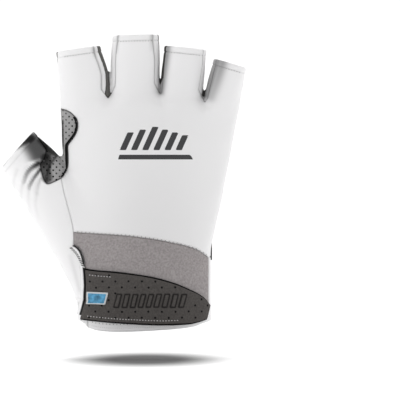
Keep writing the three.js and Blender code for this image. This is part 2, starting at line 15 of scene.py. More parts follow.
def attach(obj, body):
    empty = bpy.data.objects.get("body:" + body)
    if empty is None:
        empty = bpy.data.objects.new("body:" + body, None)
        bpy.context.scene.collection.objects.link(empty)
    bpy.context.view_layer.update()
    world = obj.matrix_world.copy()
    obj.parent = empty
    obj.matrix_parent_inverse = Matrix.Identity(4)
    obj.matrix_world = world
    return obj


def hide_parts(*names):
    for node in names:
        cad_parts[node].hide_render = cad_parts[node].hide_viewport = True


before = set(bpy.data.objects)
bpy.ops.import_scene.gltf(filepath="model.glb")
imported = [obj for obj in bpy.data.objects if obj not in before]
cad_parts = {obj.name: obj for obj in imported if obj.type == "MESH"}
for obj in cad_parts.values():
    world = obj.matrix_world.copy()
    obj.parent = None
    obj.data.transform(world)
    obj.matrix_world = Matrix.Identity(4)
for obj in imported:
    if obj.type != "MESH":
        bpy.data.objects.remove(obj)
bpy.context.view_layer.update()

bl_info = {
    "name": "Half-finger fishing glove",
    "version": (1, 0, 0),
    "blender": (4, 2, 0),
    "location": "View3D > Sidebar > Glove",
    "description": "Builds the cloth, leather and fittings of a half-finger fishing glove",
    "category": "Object",
}

# Sizes of the glove

MM = 0.001
GLOVE_LENGTH = 160
WRIST_WIDTH = 72
WRIST_DEPTH = 35
PALM_WIDTH = 94.5
PALM_DEPTH = 31
ARCH_HEIGHT = 2.2
FINGER_WIDTH = 24
FINGER_DEPTH = 20.5
FINGER_ROOT = 20
THUMB_WIDTH = 26
THUMB_DEPTH = 25
INDEX_FLARE = 2.8
MOUTH_OVERRUN = 4
LAYER_GAP = 0.3
HEM_HEIGHT = 5.6
SIDE_STRIP = 0.9
BINDING_THICKNESS = 1.2
EDGING_THICKNESS = 1
HOOK_BACKING = 0.8
STRAP_EDGE = 0.8
STRAP_LIFT = 1.4
LABEL_LIFT = 2.9
LABEL_BORDER = 0.8
PRINT_THICKNESS = 0.06
WALL_ROUNDING = 0.6
SEAM_SHADE = 0.4

# Shares: of the length where the wrist widens to the palm, of the width where the strip up the side is,
# of the length where it ends, and of a finger's table for its root
WIDEN_FROM = 0.25
WIDEN_TO = 0.71
SIDE_SHARE = 0.492
SIDE_STRIP_TOP = 0.25
ROOT_SHARE = 0.6

# How far the hand, the fingers and the thumb melt into each other, and where they are worked out
HAND_MELT = 3.5
FINGER_MELT = 0.9
THUMB_MELT = (8, 3)
THUMB_MELT_HEIGHTS = (62, 84)
FINGERS_ABOVE = 95
MOUTHS_ABOVE = 100
THUMB_BESIDE = 5

# The grid that the skin is made from, and a distance that means nowhere near
CELL = 0.85
SKIN_LOW = (-86, -27, -9)
SKIN_HIGH = (64, 28, 168)
NOT_NEAR = 99.0
FAR = 600

# Sections of the hand: up, left, right, back, palm, lean, power
HAND_ROWS = (
    (-0.013, 0.5, 0.493, 0.486, 0.514, 0, 2.3),
    (0.1, 0.507, 0.494, 0.486, 0.514, 0, 2.3),
    (0.25, 0.507, 0.489, 0.486, 0.529, 0, 2.3),
    (0.331, 0.512, 0.505, 0.461, 0.519, 0, 2.35),
    (0.438, 0.512, 0.511, 0.418, 0.507, 0, 2.4),
    (0.531, 0.508, 0.505, 0.418, 0.495, 0, 2.5),
    (0.625, 0.482, 0.507, 0.414, 0.478, 0, 2.6),
    (0.744, 0.47, 0.524, 0.375, 0.42, 0, 2.6),
    (0.788, 0.46, 0.524, 0.3, 0.355, 0.01, 2.6),
    (0.82, 0.42, 0.49, 0.2, 0.27, 0.07, 2.5),
    (0.845, 0.39, 0.46, 0.08, 0.145, 0.13, 2.4),
)

# Fingers: across, up, mouth across, mouth up, web width, mouth width, tilt
FINGERS = (
    (-0.343, 0.746, -0.38, 0.952, 0.262, 0.975, 0.138),
    (-0.06, 0.786, -0.054, 0.998, 0.291, 1.012, 0.02),
    (0.203, 0.786, 0.232, 0.955, 0.246, 0.925, -0.1),
    (0.434, 0.769, 0.486, 0.903, 0.205, 0.745, -0.285),
)
FINGER_AT = (-ROOT_SHARE, -0.15, 0.2, 0.55, 1)
FINGER_WIDE = (0.7, 0.97, 1.01, 1.035, 1)
FINGER_DEEP = (0.6, 0.98, 1, 1, 1)
FINGER_POWER = 2.2

# Sections of the thumb: across, up, turn in degrees, half width, back, palm, lean
THUMB_ROWS = (
    (-0.333, 0.138, 8, 0.5, 0.44, 0.5, 0),
    (-0.431, 0.25, 18, 0.59, 0.48, 0.6, 0),
    (-0.539, 0.375, 28, 0.64, 0.48, 0.66, 0),
    (-0.642, 0.503, 40, 0.6, 0.48, 0.56, 0),
    (-0.753, 0.611, 48.4, 0.5, 0.48, 0.5, 0.06),
)
THUMB_POWER = 2.1

# Seam and edge lines: across as a share of the glove's width at that height, up as a share of its length
PATCH_RIGHT = (
    (-0.45, 0.744), (-0.417, 0.733), (-0.388, 0.712), (-0.384, 0.689), (-0.397, 0.665), (-0.43, 0.64),
    (-0.45, 0.624), (-0.456, 0.594), (-0.468, 0.56), (-0.489, 0.537), (-0.522, 0.516),
)
PATCH_LEFT = (
    (-0.572, 0.504), (-0.621, 0.496), (-0.635, 0.516), (-0.632, 0.56), (-0.598, 0.584), (-0.56, 0.65),
    (-0.55, 0.76),
)
THUMB_SEAM = ((-0.522, 0.516), (-0.527, 0.476), (-0.525, 0.425), (-0.518, 0.374), (-0.518, 0.334),
              (-0.528, 0.29))
SLIT = (
    (-0.53, 0.291), (-0.506, 0.286), (-0.479, 0.272), (-0.458, 0.247), (-0.447, 0.214), (-0.438, 0.169),
    (-0.438, 0.126), (-0.447, 0.088), (-0.466, 0.054), (-0.486, 0.02), (-0.497, -0.025),
)
THUMB_INNER = ((-0.698, 0.727), (-0.588, 0.622), (-0.567, 0.596), (-0.512, 0.592))
LOOP_TOP = (
    (-0.56, 0.336), (-0.518, 0.334), (-0.33, 0.328), (-0.11, 0.321), (0.111, 0.307), (0.336, 0.284),
    (0.45, 0.258), (0.6, 0.2),
)
HEM = (
    (-0.7, 0.06), (-0.488, 0.034), (-0.412, 0.01), (-0.262, 0), (0.038, 0.003), (0.338, 0.014),
    (0.465, 0.031), (0.7, 0.06),
)
STRAP_TOP = (
    (-0.447, 0.213), (-0.368, 0.207), (-0.18, 0.2), (0.036, 0.186), (0.154, 0.173), (0.248, 0.159),
    (0.323, 0.144), (0.389, 0.129), (0.445, 0.11), (0.477, 0.089),
)
STRAP_BOTTOM = (
    (0.457, 0.04), (0.398, 0.031), (0.293, 0.023), (0.038, 0.022), (-0.262, 0.03), (-0.476, 0.039),
)
STRAP_START = ((-0.476, 0.039), *SLIT[8:4:-1], (-0.447, 0.213))
PALM_CUT = (
    (0.7, 0.236), (0.518, 0.234), (0.292, 0.225), (0.09, 0.193), (-0.022, 0.149), (-0.075, 0.118),
    (-0.262, 0.115), (-0.333, 0.097), (-0.431, 0.066), (-0.7, 0.03),
)
LEATHER = (
    (-0.262, 0.06), (-0.262, 0.125), (-0.3, 0.186), (-0.347, 0.216), (-0.483, 0.286), (-0.591, 0.351),
    (-0.72, 0.445), (-0.829, 0.526), (-0.96, 0.62),
)
LABEL = ((-0.414, 0.136), (-0.264, 0.131), (-0.282, 0.091), (-0.414, 0.096))

# The white strips between the fingers, for each finger's left and right side: where they start and end in
# depth at the mouth, and the same at the web
STRIPS = {
    (0, 1): (-7.8, -5.3, -7.9, -6.9),
    (1, -1): (-6.8, 3.0, -6.4, -1.0),
    (1, 1): (-6.8, -2.2, -6.4, -0.5),
    (2, -1): (-5.0, -5.0, -5.0, -1.0),
    (2, 1): (-5.8, 3.0, -6.0, -1.0),
    (3, -1): (-6.2, 3.0, -6.2, -1.0),
}

# Shares of a finger's length that bound a strip's region and that its limits change over, and the
# distance over which the limits of its two sides blend
PAST_MOUTH = 1.4
NEAR_MOUTH = 0.8
STRIP_FADE = (0.12, 0.45)
STRIP_BLEND = 2

# Where the seams of each white strip meet at the web, how much lower than the table the web is there,
# and over which heights it starts to be lower
STRIP_ENDS = ((-19.7, 125.6), (9.2, 126.4), (32.2, 123.6))
WEB_DIPS = (4, 3, 6.5)
WEB_DIP_REACH = 4.5
WEB_DIP_HEIGHTS = (108, 125)

# Folds of the cloth: side, height, half width and points across and up, in millimetres
FOLDS = (
    (-1, 0.8, 1.1, ((-55.7, 92.3), (-61.4, 90.3), (-64.8, 87), (-66.2, 80.2), (-66.4, 76))),
    (-1, -0.9, 1.4, ((-57.4, 90.3), (-61.4, 87.6), (-64.1, 84.2), (-65.5, 78.5))),
    (-1, 0.7, 1, ((-57, 88.6), (-60.1, 84.9), (-62.8, 80.9), (-63.9, 76.5))),
    (-1, -0.7, 0.9, ((-56.4, 86.9), (-59.4, 82.9), (-61.8, 78.8), (-62.6, 75.5))),
    (-1, 0.5, 1, ((-56.7, 84.2), (-58.7, 80.9), (-60.1, 76.1), (-60.4, 72))),
    (-1, -0.5, 1, ((-56, 82.2), (-57.4, 78.2), (-58.1, 74.1))),
    (-1, 0.35, 2, ((-63.5, 90.2), (-67.5, 85.5), (-68.7, 80.2))),
    (-1, 0.35, 2, ((-68, 94), (-71.5, 86.4), (-71.5, 81.8))),
    (1, -0.7, 2, ((-45, 94), (-36, 98.5), (-27, 99), (-15.4, 91))),
    (1, 0.5, 2, ((-43, 90), (-35, 94.5), (-27, 95), (-18, 89))),
    (1, -0.6, 1.8, ((-44, 92), (-38, 89), (-32, 81))),
)


def smoothstep(value, low, high):
    """0 below low, 1 above high, and smooth between."""
    t = np.clip((value - low) / (high - low), 0, 1)
    return t * t * (3 - 2 * t)


def width_at(up):
    """The glove's width at a share of its length."""
    return WRIST_WIDTH + (PALM_WIDTH - WRIST_WIDTH) * smoothstep(up, WIDEN_FROM, WIDEN_TO)


def depth_at(up):
    """The glove's depth at a share of its length."""
    return WRIST_DEPTH + (PALM_DEPTH - WRIST_DEPTH) * smoothstep(up, WIDEN_FROM, WIDEN_TO)


def place(rows):
    """Points in X and Z of rows of across and up."""
    rows = np.asarray(rows, float)
    return np.stack([rows[:, 0] * width_at(rows[:, 1]), rows[:, 1] * GLOVE_LENGTH], 1)


def spline(rows, count):
    """Rows on a smooth curve through the given ones."""
    rows = np.asarray(rows, float)
    share = np.linspace(0, len(rows) - 1, count)
    index = np.minimum(share.astype(int), len(rows) - 2)
    t = (share - index)[:, None]
    a, b, c, d = (rows[np.clip(index + k, 0, len(rows) - 1)] for k in (-1, 0, 1, 2))
    return b + 0.5 * t * (c - a + t * (2 * a - 5 * b + 4 * c - d + t * (3 * b - a - 3 * c + d)))


def line(rows, steps=6):
    """A smooth line in X and Z through a table of across and up."""
    return spline(place(rows), steps * (len(rows) - 1) + 1)


def arched(points):
    """The points bent over the back of the hand."""
    out = np.array(points, float)
    out[:, 1] += ARCH_HEIGHT * (out[:, 0] / (PALM_WIDTH / 2)) ** 2
    return out


# The form of the whole hand as a distance, negative inside

def oval(u, v, right, left, palm, back, power):
    """Distance to a rounded outline with its own half size on each side."""
    side = np.where(u > 0, right, left)
    deep = np.where(v > 0, palm, back)
    norm = ((np.abs(u) / side) ** power + (np.abs(v) / deep) ** power) ** (1 / power)
    return (np.hypot(u, v) + 1e-3) * (1 - 1 / np.maximum(norm, 1e-5))


def melt(a, b, reach):
    """The smooth union of two distances."""
    share = np.maximum(reach - np.abs(a - b), 0) / reach
    return np.minimum(a, b) - share * share * reach / 4


HAND_TABLE = spline(HAND_ROWS, 400)
THUMB_TABLE = spline(THUMB_ROWS, 241)
THUMB_AT = np.linspace(0, 1, len(THUMB_TABLE))
THUMB_MIDDLE = place(THUMB_TABLE[:, :2])
THUMB_TURN = np.radians(THUMB_TABLE[:, 2])
THUMB_OUT = np.stack([-np.sin(THUMB_TURN), np.cos(THUMB_TURN)], 1)
THUMB_SPEED = np.sum(np.gradient(THUMB_MIDDLE, THUMB_AT, axis=0) * THUMB_OUT, 1)
THUMB_BEND = np.gradient(THUMB_TURN, THUMB_AT)


def hand_distance(p):
    """Distance to the hand without its fingers and thumb."""
    dip = sum(depth * np.exp(-((p[:, 0] - end[0]) / WEB_DIP_REACH) ** 2)
              for depth, end in zip(WEB_DIPS, STRIP_ENDS)) * smoothstep(p[:, 2], *WEB_DIP_HEIGHTS)
    up = (p[:, 2] + dip) / GLOVE_LENGTH
    left, right, back, palm, lean, power = (
        np.interp(up, HAND_TABLE[:, 0], HAND_TABLE[:, k]) for k in range(1, 7))
    wide = width_at(up)
    deep = depth_at(up)
    value = oval(p[:, 0], p[:, 1] - lean * PALM_DEPTH, right * wide, left * wide, palm * deep,
                 back * deep, power)
    return np.maximum(value, p[:, 2] + dip - HAND_ROWS[-1][0] * GLOVE_LENGTH)


def finger_ends(finger):
    """A finger's root and mouth in X and Z, and the turn of its mouth."""
    root, mouth = np.array([finger[:2], finger[2:4]]) * (PALM_WIDTH, GLOVE_LENGTH)
    return root, mouth, math.atan(finger[6])


def finger_place(p, finger):
    """Share of the way along a finger, place across it, and height above its mouth."""
    root, mouth, mouth_turn = finger_ends(finger)
    length = np.linalg.norm(mouth - root)
    along = (mouth - root) / length
    flat = p[:, [0, 2]]
    reach = (flat - root) @ along
    for _ in range(3):
        turn = mouth_turn * np.clip(reach / length, 0, 1)
        out = np.stack([-np.sin(turn), np.cos(turn)], 1)
        miss = np.sum((flat - root - reach[:, None] * along) * out, 1)
        reach = reach + miss / (out @ along)
    at = np.where(reach > 0, reach / length, ROOT_SHARE * reach / FINGER_ROOT)
    gone = flat - (root + reach[:, None] * along)
    turn = mouth_turn * np.clip(at, 0, 1)
    side = gone[:, 0] * np.cos(turn) + gone[:, 1] * np.sin(turn)
    return at, side, (flat - mouth) @ (-math.sin(mouth_turn), math.cos(mouth_turn))


def finger_half(at, finger):
    """Half width and half depth of a finger at a share of its length."""
    share = np.clip(at, 0, 1)
    wide = finger[4] * PALM_WIDTH * (1 - share) + finger[5] * FINGER_WIDTH * share
    half = wide / 2 * np.interp(at, FINGER_AT, FINGER_WIDE)
    return half, FINGER_DEPTH / 2 * np.interp(at, FINGER_AT, FINGER_DEEP)


def finger_distance(p, finger):
    """Distance to one finger, which runs a little past its mouth."""
    at, side, above = finger_place(p, finger)
    half, deep = finger_half(at, finger)
    flare = INDEX_FLARE * smoothstep(1 - at, 0, 0.5) if finger is FINGERS[0] else 0
    value = oval(side, p[:, 1], half + flare, half, deep, deep, FINGER_POWER)
    return np.maximum.reduce([value, (-ROOT_SHARE - at) * FINGER_ROOT, above - MOUTH_OVERRUN])


def thumb_place(p):
    """Share of the way along the thumb, place across it, and height above the end of its table there."""
    flat = p[:, [0, 2]]
    at = np.full(len(p), 0.6)
    for _ in range(7):
        turn = np.interp(at, THUMB_AT, THUMB_TURN)
        gone = flat - np.stack([np.interp(at, THUMB_AT, THUMB_MIDDLE[:, k]) for k in (0, 1)], 1)
        above = -np.sin(turn) * gone[:, 0] + np.cos(turn) * gone[:, 1]
        side = np.cos(turn) * gone[:, 0] + np.sin(turn) * gone[:, 1]
        slope = np.interp(at, THUMB_AT, THUMB_SPEED) + side * np.interp(at, THUMB_AT, THUMB_BEND)
        at = np.clip(at + above / np.maximum(slope, 20), 0, 1)
    return at, side, above


def thumb_distance(p):
    """Distance to the thumb."""
    at, side, above = thumb_place(p)
    half, back, palm, lean = (np.interp(at, THUMB_AT, THUMB_TABLE[:, k]) for k in (3, 4, 5, 6))
    value = oval(side, p[:, 1] - lean * THUMB_DEPTH, half * THUMB_WIDTH, half * THUMB_WIDTH,
                 palm * THUMB_DEPTH, back * THUMB_DEPTH, THUMB_POWER)
    return np.maximum(value, np.where(at <= 0, -above, above - MOUTH_OVERRUN))


def glove_distance(p):
    """Distance to the whole outer form."""
    near = p[:, 0] < THUMB_BESIDE
    thumb = np.full(len(p), NOT_NEAR)
    thumb[near] = thumb_distance(p[near])
    low_melt, high_melt = THUMB_MELT
    reach = low_melt + (high_melt - low_melt) * smoothstep(p[:, 2], *THUMB_MELT_HEIGHTS)
    high = p[:, 2] > FINGERS_ABOVE
    fingers = np.full(len(p), NOT_NEAR)
    for finger in FINGERS:
        fingers[high] = melt(fingers[high], finger_distance(p[high], finger), FINGER_MELT)
    return melt(melt(hand_distance(p), thumb, reach), fingers, HAND_MELT)


def gradient(p):
    """Outward unit directions and slopes of the form's distance."""
    step = 0.05
    out = np.zeros_like(p)
    for k in range(3):
        shift = np.zeros(3)
        shift[k] = step
        out[:, k] = (glove_distance(p + shift) - glove_distance(p - shift)) / (2 * step)
    size = np.linalg.norm(out, axis=1, keepdims=True)
    return out / np.maximum(size, 1e-9), size[:, 0]


# Surfaces as arrays

def net_surface(values, low, cell):
    """Points and four-sided faces where a grid of distances crosses zero."""
    inside = values < 0
    shape = tuple(n - 1 for n in values.shape)
    corners = [(i, j, k) for i in (0, 1) for j in (0, 1) for k in (0, 1)]

    def at(grid, corner):
        return grid[tuple(slice(c, c + n) for c, n in zip(corner, shape))]

    count = sum(at(inside, c).astype(np.int8) for c in corners)
    active = (count > 0) & (count < 8)
    index = np.full(shape, -1)
    index[active] = np.arange(active.sum())
    total = np.zeros((active.sum(), 3))
    hits = np.zeros(active.sum())
    for one in corners:
        for axis in range(3):
            if one[axis]:
                continue
            other = list(one)
            other[axis] = 1
            a = at(values, one)[active]
            b = at(values, other)[active]
            cross = (a < 0) != (b < 0)
            t = a[cross] / (a[cross] - b[cross])
            total[cross] += np.array(one)
            total[cross, axis] += t
            hits[cross] += 1
    points = np.stack(np.nonzero(active), 1) + total / hits[:, None]
    faces = []
    for axis in range(3):
        u, v = (axis + 1) % 3, (axis + 2) % 3
        a = inside[tuple(slice(None, -1) if k == axis else slice(1, -1) for k in range(3))]
        b = inside[tuple(slice(1, None) if k == axis else slice(1, -1) for k in range(3))]
        for out, low_in in ((True, True), (False, False)):
            spots = np.stack(np.nonzero((a != b) & (a == low_in)), 1)
            around = []
            for du, dv in ((0, 0), (1, 0), (1, 1), (0, 1)):
                cell_at = spots.copy()
                cell_at[:, u] += du
                cell_at[:, v] += dv
                around.append(index[tuple(cell_at.T)])
            quad = np.stack(around, 1)
            faces.append(quad if out else quad[:, ::-1])
    return np.array(low) + points * cell, np.concatenate(faces)


def sides_of(faces):
    """The directed sides of all triangles."""
    return np.concatenate([faces[:, [0, 1]], faces[:, [1, 2]], faces[:, [2, 0]]])


def vertex_normals(points, faces):
    """Outward directions of a triangle surface, weighted by area."""
    a, b, c = (points[faces[:, k]] for k in range(3))
    flat = np.cross(b - a, c - a)
    out = np.zeros_like(points)
    for k in range(3):
        for axis in range(3):
            out[:, axis] += np.bincount(faces[:, k], flat[:, axis], len(points))
    return out / np.maximum(np.linalg.norm(out, axis=1, keepdims=True), 1e-12)


def relaxed(points, faces, rounds):
    """The points slid along the form until they lie evenly."""
    edges = sides_of(faces)
    edges = np.concatenate([edges, edges[:, ::-1]])
    degree = np.bincount(edges[:, 0], minlength=len(points))
    for _ in range(rounds):
        mean = np.stack([np.bincount(edges[:, 0], points[edges[:, 1], k], len(points))
                         for k in range(3)], 1) / degree[:, None]
        normal, slope = gradient(points)
        move = mean - points
        move -= normal * np.sum(move * normal, 1, keepdims=True)
        points = points + 0.5 * move
        value = glove_distance(points)
        points = points - normal * (value / np.maximum(slope, 0.3))[:, None]
    return points


def path_distance(flat, path):
    """Distance to an open path in X and Z, and the share of the way along it."""
    best = np.full(len(flat), 1e9)
    share = np.zeros(len(flat))
    steps = len(path) - 1
    for i in range(steps):
        a, b = path[i], path[i + 1]
        way = b - a
        t = np.clip(((flat - a) @ way) / max(way @ way, 1e-12), 0, 1)
        gone = np.linalg.norm(flat - a - t[:, None] * way, axis=1)
        closer = gone < best
        best[closer] = gone[closer]
        share[closer] = (i + t[closer]) / steps
    return best, share


def ring_distance(flat, ring):
    """Distance to a closed outline in X and Z, negative inside."""
    ring = np.asarray(ring, float)
    best, _ = path_distance(flat, np.concatenate([ring, ring[:1]]))
    inside = np.zeros(len(flat), bool)
    x, z = flat[:, 0], flat[:, 1]
    for (ax, az), (bx, bz) in zip(ring, np.roll(ring, -1, axis=0)):
        spans = (az > z) != (bz > z)
        if az != bz:
            inside ^= spans & (x < (bx - ax) * (z - az) / (bz - az) + ax)
    return np.where(inside, -best, best)


class Skin:
    """A triangle surface: points, outward directions, faces, distance to the nearest edge, and shade."""

    def __init__(self, points, normals, faces, edge=None, shade=None):
        self.points = points
        self.normals = normals
        self.faces = faces
        self.edge = np.full(len(points), NOT_NEAR) if edge is None else edge
        self.shade = np.zeros(len(points)) if shade is None else shade

    def flat(self):
        """The points in X and Z."""
        return self.points[:, [0, 2]]

    def trimmed(self, faces):
        """A skin with only these faces and the points they use."""
        used, index = np.unique(faces, return_inverse=True)
        return Skin(self.points[used], self.normals[used], index.reshape(-1, 3), self.edge[used],
                    self.shade[used])

    def cut(self, side):
        """The skin with its triangles cut where side is zero, and which faces lie where it is negative."""
        inside = side < 0
        corner = inside[self.faces]
        count = corner.sum(1)
        mixed = (count == 1) | (count == 2)
        tri = self.faces[mixed]
        odd = corner[mixed] == (count[mixed] == 1)[:, None]
        first = np.argmax(odd, 1)
        row = np.arange(len(tri))
        a, b, c = (tri[row, (first + k) % 3] for k in range(3))
        edges = np.sort(np.concatenate([np.stack([a, b], 1), np.stack([a, c], 1)]), axis=1)
        pairs, index = np.unique(edges, axis=0, return_inverse=True)
        index = index.reshape(-1) + len(self.points)
        low, high = pairs[:, 0], pairs[:, 1]
        t = side[low] / np.where(side[low] == side[high], 1, side[low] - side[high])
        t = np.clip(t, 0.001, 0.999)

        def joined(values):
            share = t[:, None] if values.ndim == 2 else t
            return np.concatenate([values, values[low] * (1 - share) + values[high] * share])

        ab, ac = index[:len(tri)], index[len(tri):]
        faces = np.concatenate([
            self.faces[~mixed], np.stack([a, ab, ac], 1), np.stack([ab, b, c], 1),
            np.stack([ab, c, ac], 1),
        ])
        lone = count[mixed] == 1
        taken = np.concatenate([count[~mixed] == 3, lone, ~lone, ~lone])
        normals = joined(self.normals)
        normals /= np.maximum(np.linalg.norm(normals, axis=1, keepdims=True), 1e-12)
        return Skin(joined(self.points), normals, faces, joined(self.edge), joined(self.shade)), taken

    def scored(self, side_of, level):
        """The same skin with a row of points where a function of it has a level."""
        skin, _ = self.cut(side_of(self) - level)
        return skin

    def split(self, side_of, score=0.6, shade=0.0):
        """The parts where a function of the skin is negative and where it isn't, shaded along the cut."""
        skin = self.scored(side_of, -score).scored(side_of, score)
        skin, taken = skin.cut(side_of(skin))
        gone = np.abs(side_of(skin))
        skin.edge = np.minimum(skin.edge, gone)
        skin.shade = np.maximum(skin.shade, shade * np.exp(-(gone / SEAM_SHADE) ** 2))
        return skin.trimmed(skin.faces[taken]), skin.trimmed(skin.faces[~taken])


def border(faces):
    """Directed edges of a triangle surface that belong to one face."""
    edges = sides_of(faces)
    size = edges.max() + 1
    key = edges[:, 0] * size + edges[:, 1]
    back = edges[:, 1] * size + edges[:, 0]
    return edges[~np.isin(key, back)]


def edge_drop(edge, radius):
    """How far a rounded edge falls away at a distance from it."""
    inward = np.clip(1 - edge / radius, 0, 1)
    return radius * (1 - np.sqrt(1 - inward * inward))


def slab(skin, lift, thickness, radius):
    """Points and faces of a solid over a skin, with rounded edges."""
    drop = edge_drop(skin.edge, radius)
    top = skin.points + skin.normals * (lift + thickness - drop)[:, None]
    bottom = skin.points + skin.normals * lift
    rim = border(skin.faces)
    count = len(top)
    faces = np.concatenate([
        skin.faces, skin.faces[:, ::-1] + count,
        np.stack([rim[:, 1], rim[:, 0], rim[:, 0] + count], 1),
        np.stack([rim[:, 1], rim[:, 0] + count, rim[:, 1] + count], 1),
    ])
    return np.concatenate([top, bottom]), faces


# What a user can change

def length(label, text, value):
    """A length property with its default in millimetres."""
    return bpy.props.FloatProperty(name=label, description=text, default=value * MM, min=0, unit="LENGTH",
                                   precision=4)


def color(label, text, *value):
    """A colour property."""
    return bpy.props.FloatVectorProperty(name=label, description=text, default=value, min=0, max=1, size=3,
                                         subtype="COLOR")


class GLOVE_PG_sizes(bpy.types.PropertyGroup):
    """Sizes of the glove's layers, seams and holes"""

    wall: length("Wall", "Thickness of the cloth and the leather", 1.4)
    mouth_hem: length("Mouth hem", "Height of the hem round each finger's opening", 3.2)
    fold_height: length("Fold height", "How far the strongest folds of the cloth stand out", 1)
    edging_width: length("Edging", "Width of the black edge along the patch", 0.85)
    binding_width: length("Binding", "Width of the binding along the wrist slit", 2.4)
    strap_thickness: length("Strap", "Thickness of the strap's leather face", 1.2)
    rib_height: length("Ribs", "Height of the raised ribs on the strap", 0.5)
    label_thickness: length("Label", "Thickness of the sewn label", 0.7)
    hole_width: length("Holes", "Width of a perforation", 1.05)
    palm_pitch: length("Palm holes", "Distance between the palm's holes in a row", 5.6)
    patch_pitch: length("Patch holes", "Distance between the patch's holes in a row", 3.4)
    strap_pitch: length("Strap holes", "Distance between the strap's holes in a row", 7)


class GLOVE_PG_colors(bpy.types.PropertyGroup):
    """Colours of the glove's materials"""

    white_fabric: color("White fabric", "Stretch cloth of the back and the hems", 0.885, 0.88, 0.885)
    palm_leather: color("Palm leather", "Leather of the palm and the pull tabs", 0.145, 0.142, 0.134)
    patch_leather: color("Patch leather", "Leather of the patch over the thumb's web", 0.365, 0.36, 0.36)
    loop_fabric: color("Loop fabric", "Brushed cloth that the strap holds on to", 0.355, 0.328, 0.328)
    strap_leather: color("Strap leather", "Leather face of the strap", 0.083, 0.076, 0.072)
    black_fabric: color("Black fabric", "Webbing, edging and the strap's backing", 0.006, 0.006, 0.006)
    black_plastic: color("Black plastic", "Slider and hook", 0.006, 0.006, 0.006)
    label_cloth: color("Label", "Border of the sewn label", 0.62, 0.64, 0.65)
    label_print: color("Label print", "Middle of the sewn label", 0.09, 0.29, 0.47)
    print_ink: color("Print", "Bars printed on the back of the hand", 0.06, 0.06, 0.062)
    pale_thread: color("Pale thread", "Stitches on the cloth", 0.75, 0.74, 0.74)
    grey_thread: color("Grey thread", "Stitches on the strap", 0.5, 0.49, 0.49)
    # The perforations are flat dark discs, whose colour is the painted shade of each hole's hollow
    hole_painted_shade: color("Holes", "Inside of the perforations", 0.008, 0.008, 0.008)


def size_of(name):
    """A size that the user can change, in millimetres."""
    return getattr(bpy.context.scene.glove_sizes, name) / MM


# Blender objects and materials

# Each material's roughness, grain, relief depth, shine and mottle
LOOKS = {
    "white_fabric": (0.85, 1400, 0.015, 0.15, 0.02),
    "palm_leather": (0.85, 1100, 0.04, 0.12, 0.5),
    "patch_leather": (0.85, 1100, 0.04, 0.12, 0.5),
    "loop_fabric": (0.95, 1000, 0.08, 0.05, 0.9),
    "strap_leather": (0.8, 1100, 0.04, 0.15, 0.9),
    "black_fabric": (0.9, 1500, 0.03, 0.1, 0),
    "black_plastic": (0.35, 300, 0.005, 0.4, 0),
    "label_cloth": (0.7, 1500, 0.02, 0.15, 0.2),
    "label_print": (0.6, 380, 0.02, 0.2, 3),
    "print_ink": (0.7, 1500, 0.01, 0.15, 0),
    "pale_thread": (0.8, 1500, 0.01, 0.15, 0),
    "grey_thread": (0.8, 1500, 0.01, 0.15, 0),
    "hole_painted_shade": (0.95, 1500, 0.01, 0.05, 0),
}
RELIEF_SOCKETS = (
    ("Color", "INPUT", "Color"), ("Grain", "INPUT", "Float"), ("Depth", "INPUT", "Float"),
    ("Mottle", "INPUT", "Float"), ("Color", "OUTPUT", "Color"), ("Height", "OUTPUT", "Float"),
)
CLOTH_SHARP = 60


def add_node(tree, kind, inputs=None, **settings):
    """A shader node with its settings, and with values or other nodes' outputs on its inputs."""
    node = tree.nodes.new("ShaderNode" + kind)
    for name, value in settings.items():
        setattr(node, name, value)
    fill_inputs(tree, node, inputs or {})
    return node


def fill_inputs(tree, node, inputs):
    """Puts values or links on a node's inputs."""
    for name, value in inputs.items():
        if isinstance(value, bpy.types.NodeSocket):
            tree.links.new(value, node.inputs[name])
        else:
            node.inputs[name].default_value = value


def relief_group():
    """The shared group: a colour times the piece's tone, which holds its painted shade and highlight, and a
    fine grain.
    """
    name = "glove_relief"
    if name in bpy.data.node_groups:
        return bpy.data.node_groups[name]
    tree = bpy.data.node_groups.new(name, "ShaderNodeTree")
    for label, direction, kind in RELIEF_SOCKETS:
        tree.interface.new_socket(label, in_out=direction, socket_type="NodeSocket" + kind)
    entry = tree.nodes.new("NodeGroupInput")
    leave = tree.nodes.new("NodeGroupOutput")
    where = add_node(tree, "TexCoord")
    noise = add_node(tree, "TexNoise", {
        "Vector": where.outputs["Object"], "Scale": entry.outputs["Grain"], "Detail": 3,
    })
    centred = add_node(tree, "Math", {0: noise.outputs["Fac"], 1: 0.5}, operation="SUBTRACT")
    spread = add_node(tree, "Math", {0: centred.outputs[0], 1: entry.outputs["Mottle"], 2: 1},
                      operation="MULTIPLY_ADD")
    tone = add_node(tree, "Attribute", attribute_name="tone")
    level = add_node(tree, "Math", {0: tone.outputs["Fac"], 1: spread.outputs[0]}, operation="MULTIPLY")
    shaded = add_node(tree, "VectorMath", {0: entry.outputs["Color"], "Scale": level.outputs[0]},
                      operation="SCALE")
    height = add_node(tree, "Math", {0: noise.outputs["Fac"], 1: entry.outputs["Depth"]},
                      operation="MULTIPLY")
    fill_inputs(tree, leave, {"Color": shaded.outputs[0], "Height": height.outputs[0]})
    return tree


def look_material(look):
    """A cloth, leather or plastic material with a fine relief and the piece's tones, painted shade and
    highlight among them, made once.
    """
    name = "look_" + look
    if name in bpy.data.materials:
        return bpy.data.materials[name]
    color_now = getattr(bpy.context.scene.glove_colors, look)
    roughness, grain, depth, shine, mottle = LOOKS[look]
    material = bpy.data.materials.new(name)
    material.use_nodes = True
    tree = material.node_tree
    group = add_node(tree, "Group", {
        "Color": (*color_now, 1), "Grain": grain, "Depth": depth, "Mottle": mottle,
    }, node_tree=relief_group())
    bump = add_node(tree, "Bump", {"Distance": MM, "Height": group.outputs["Height"]})
    fill_inputs(tree, tree.nodes["Principled BSDF"], {
        "Base Color": group.outputs["Color"], "Roughness": roughness, "Specular IOR Level": shine,
        "Normal": bump.outputs["Normal"],
    })
    return material


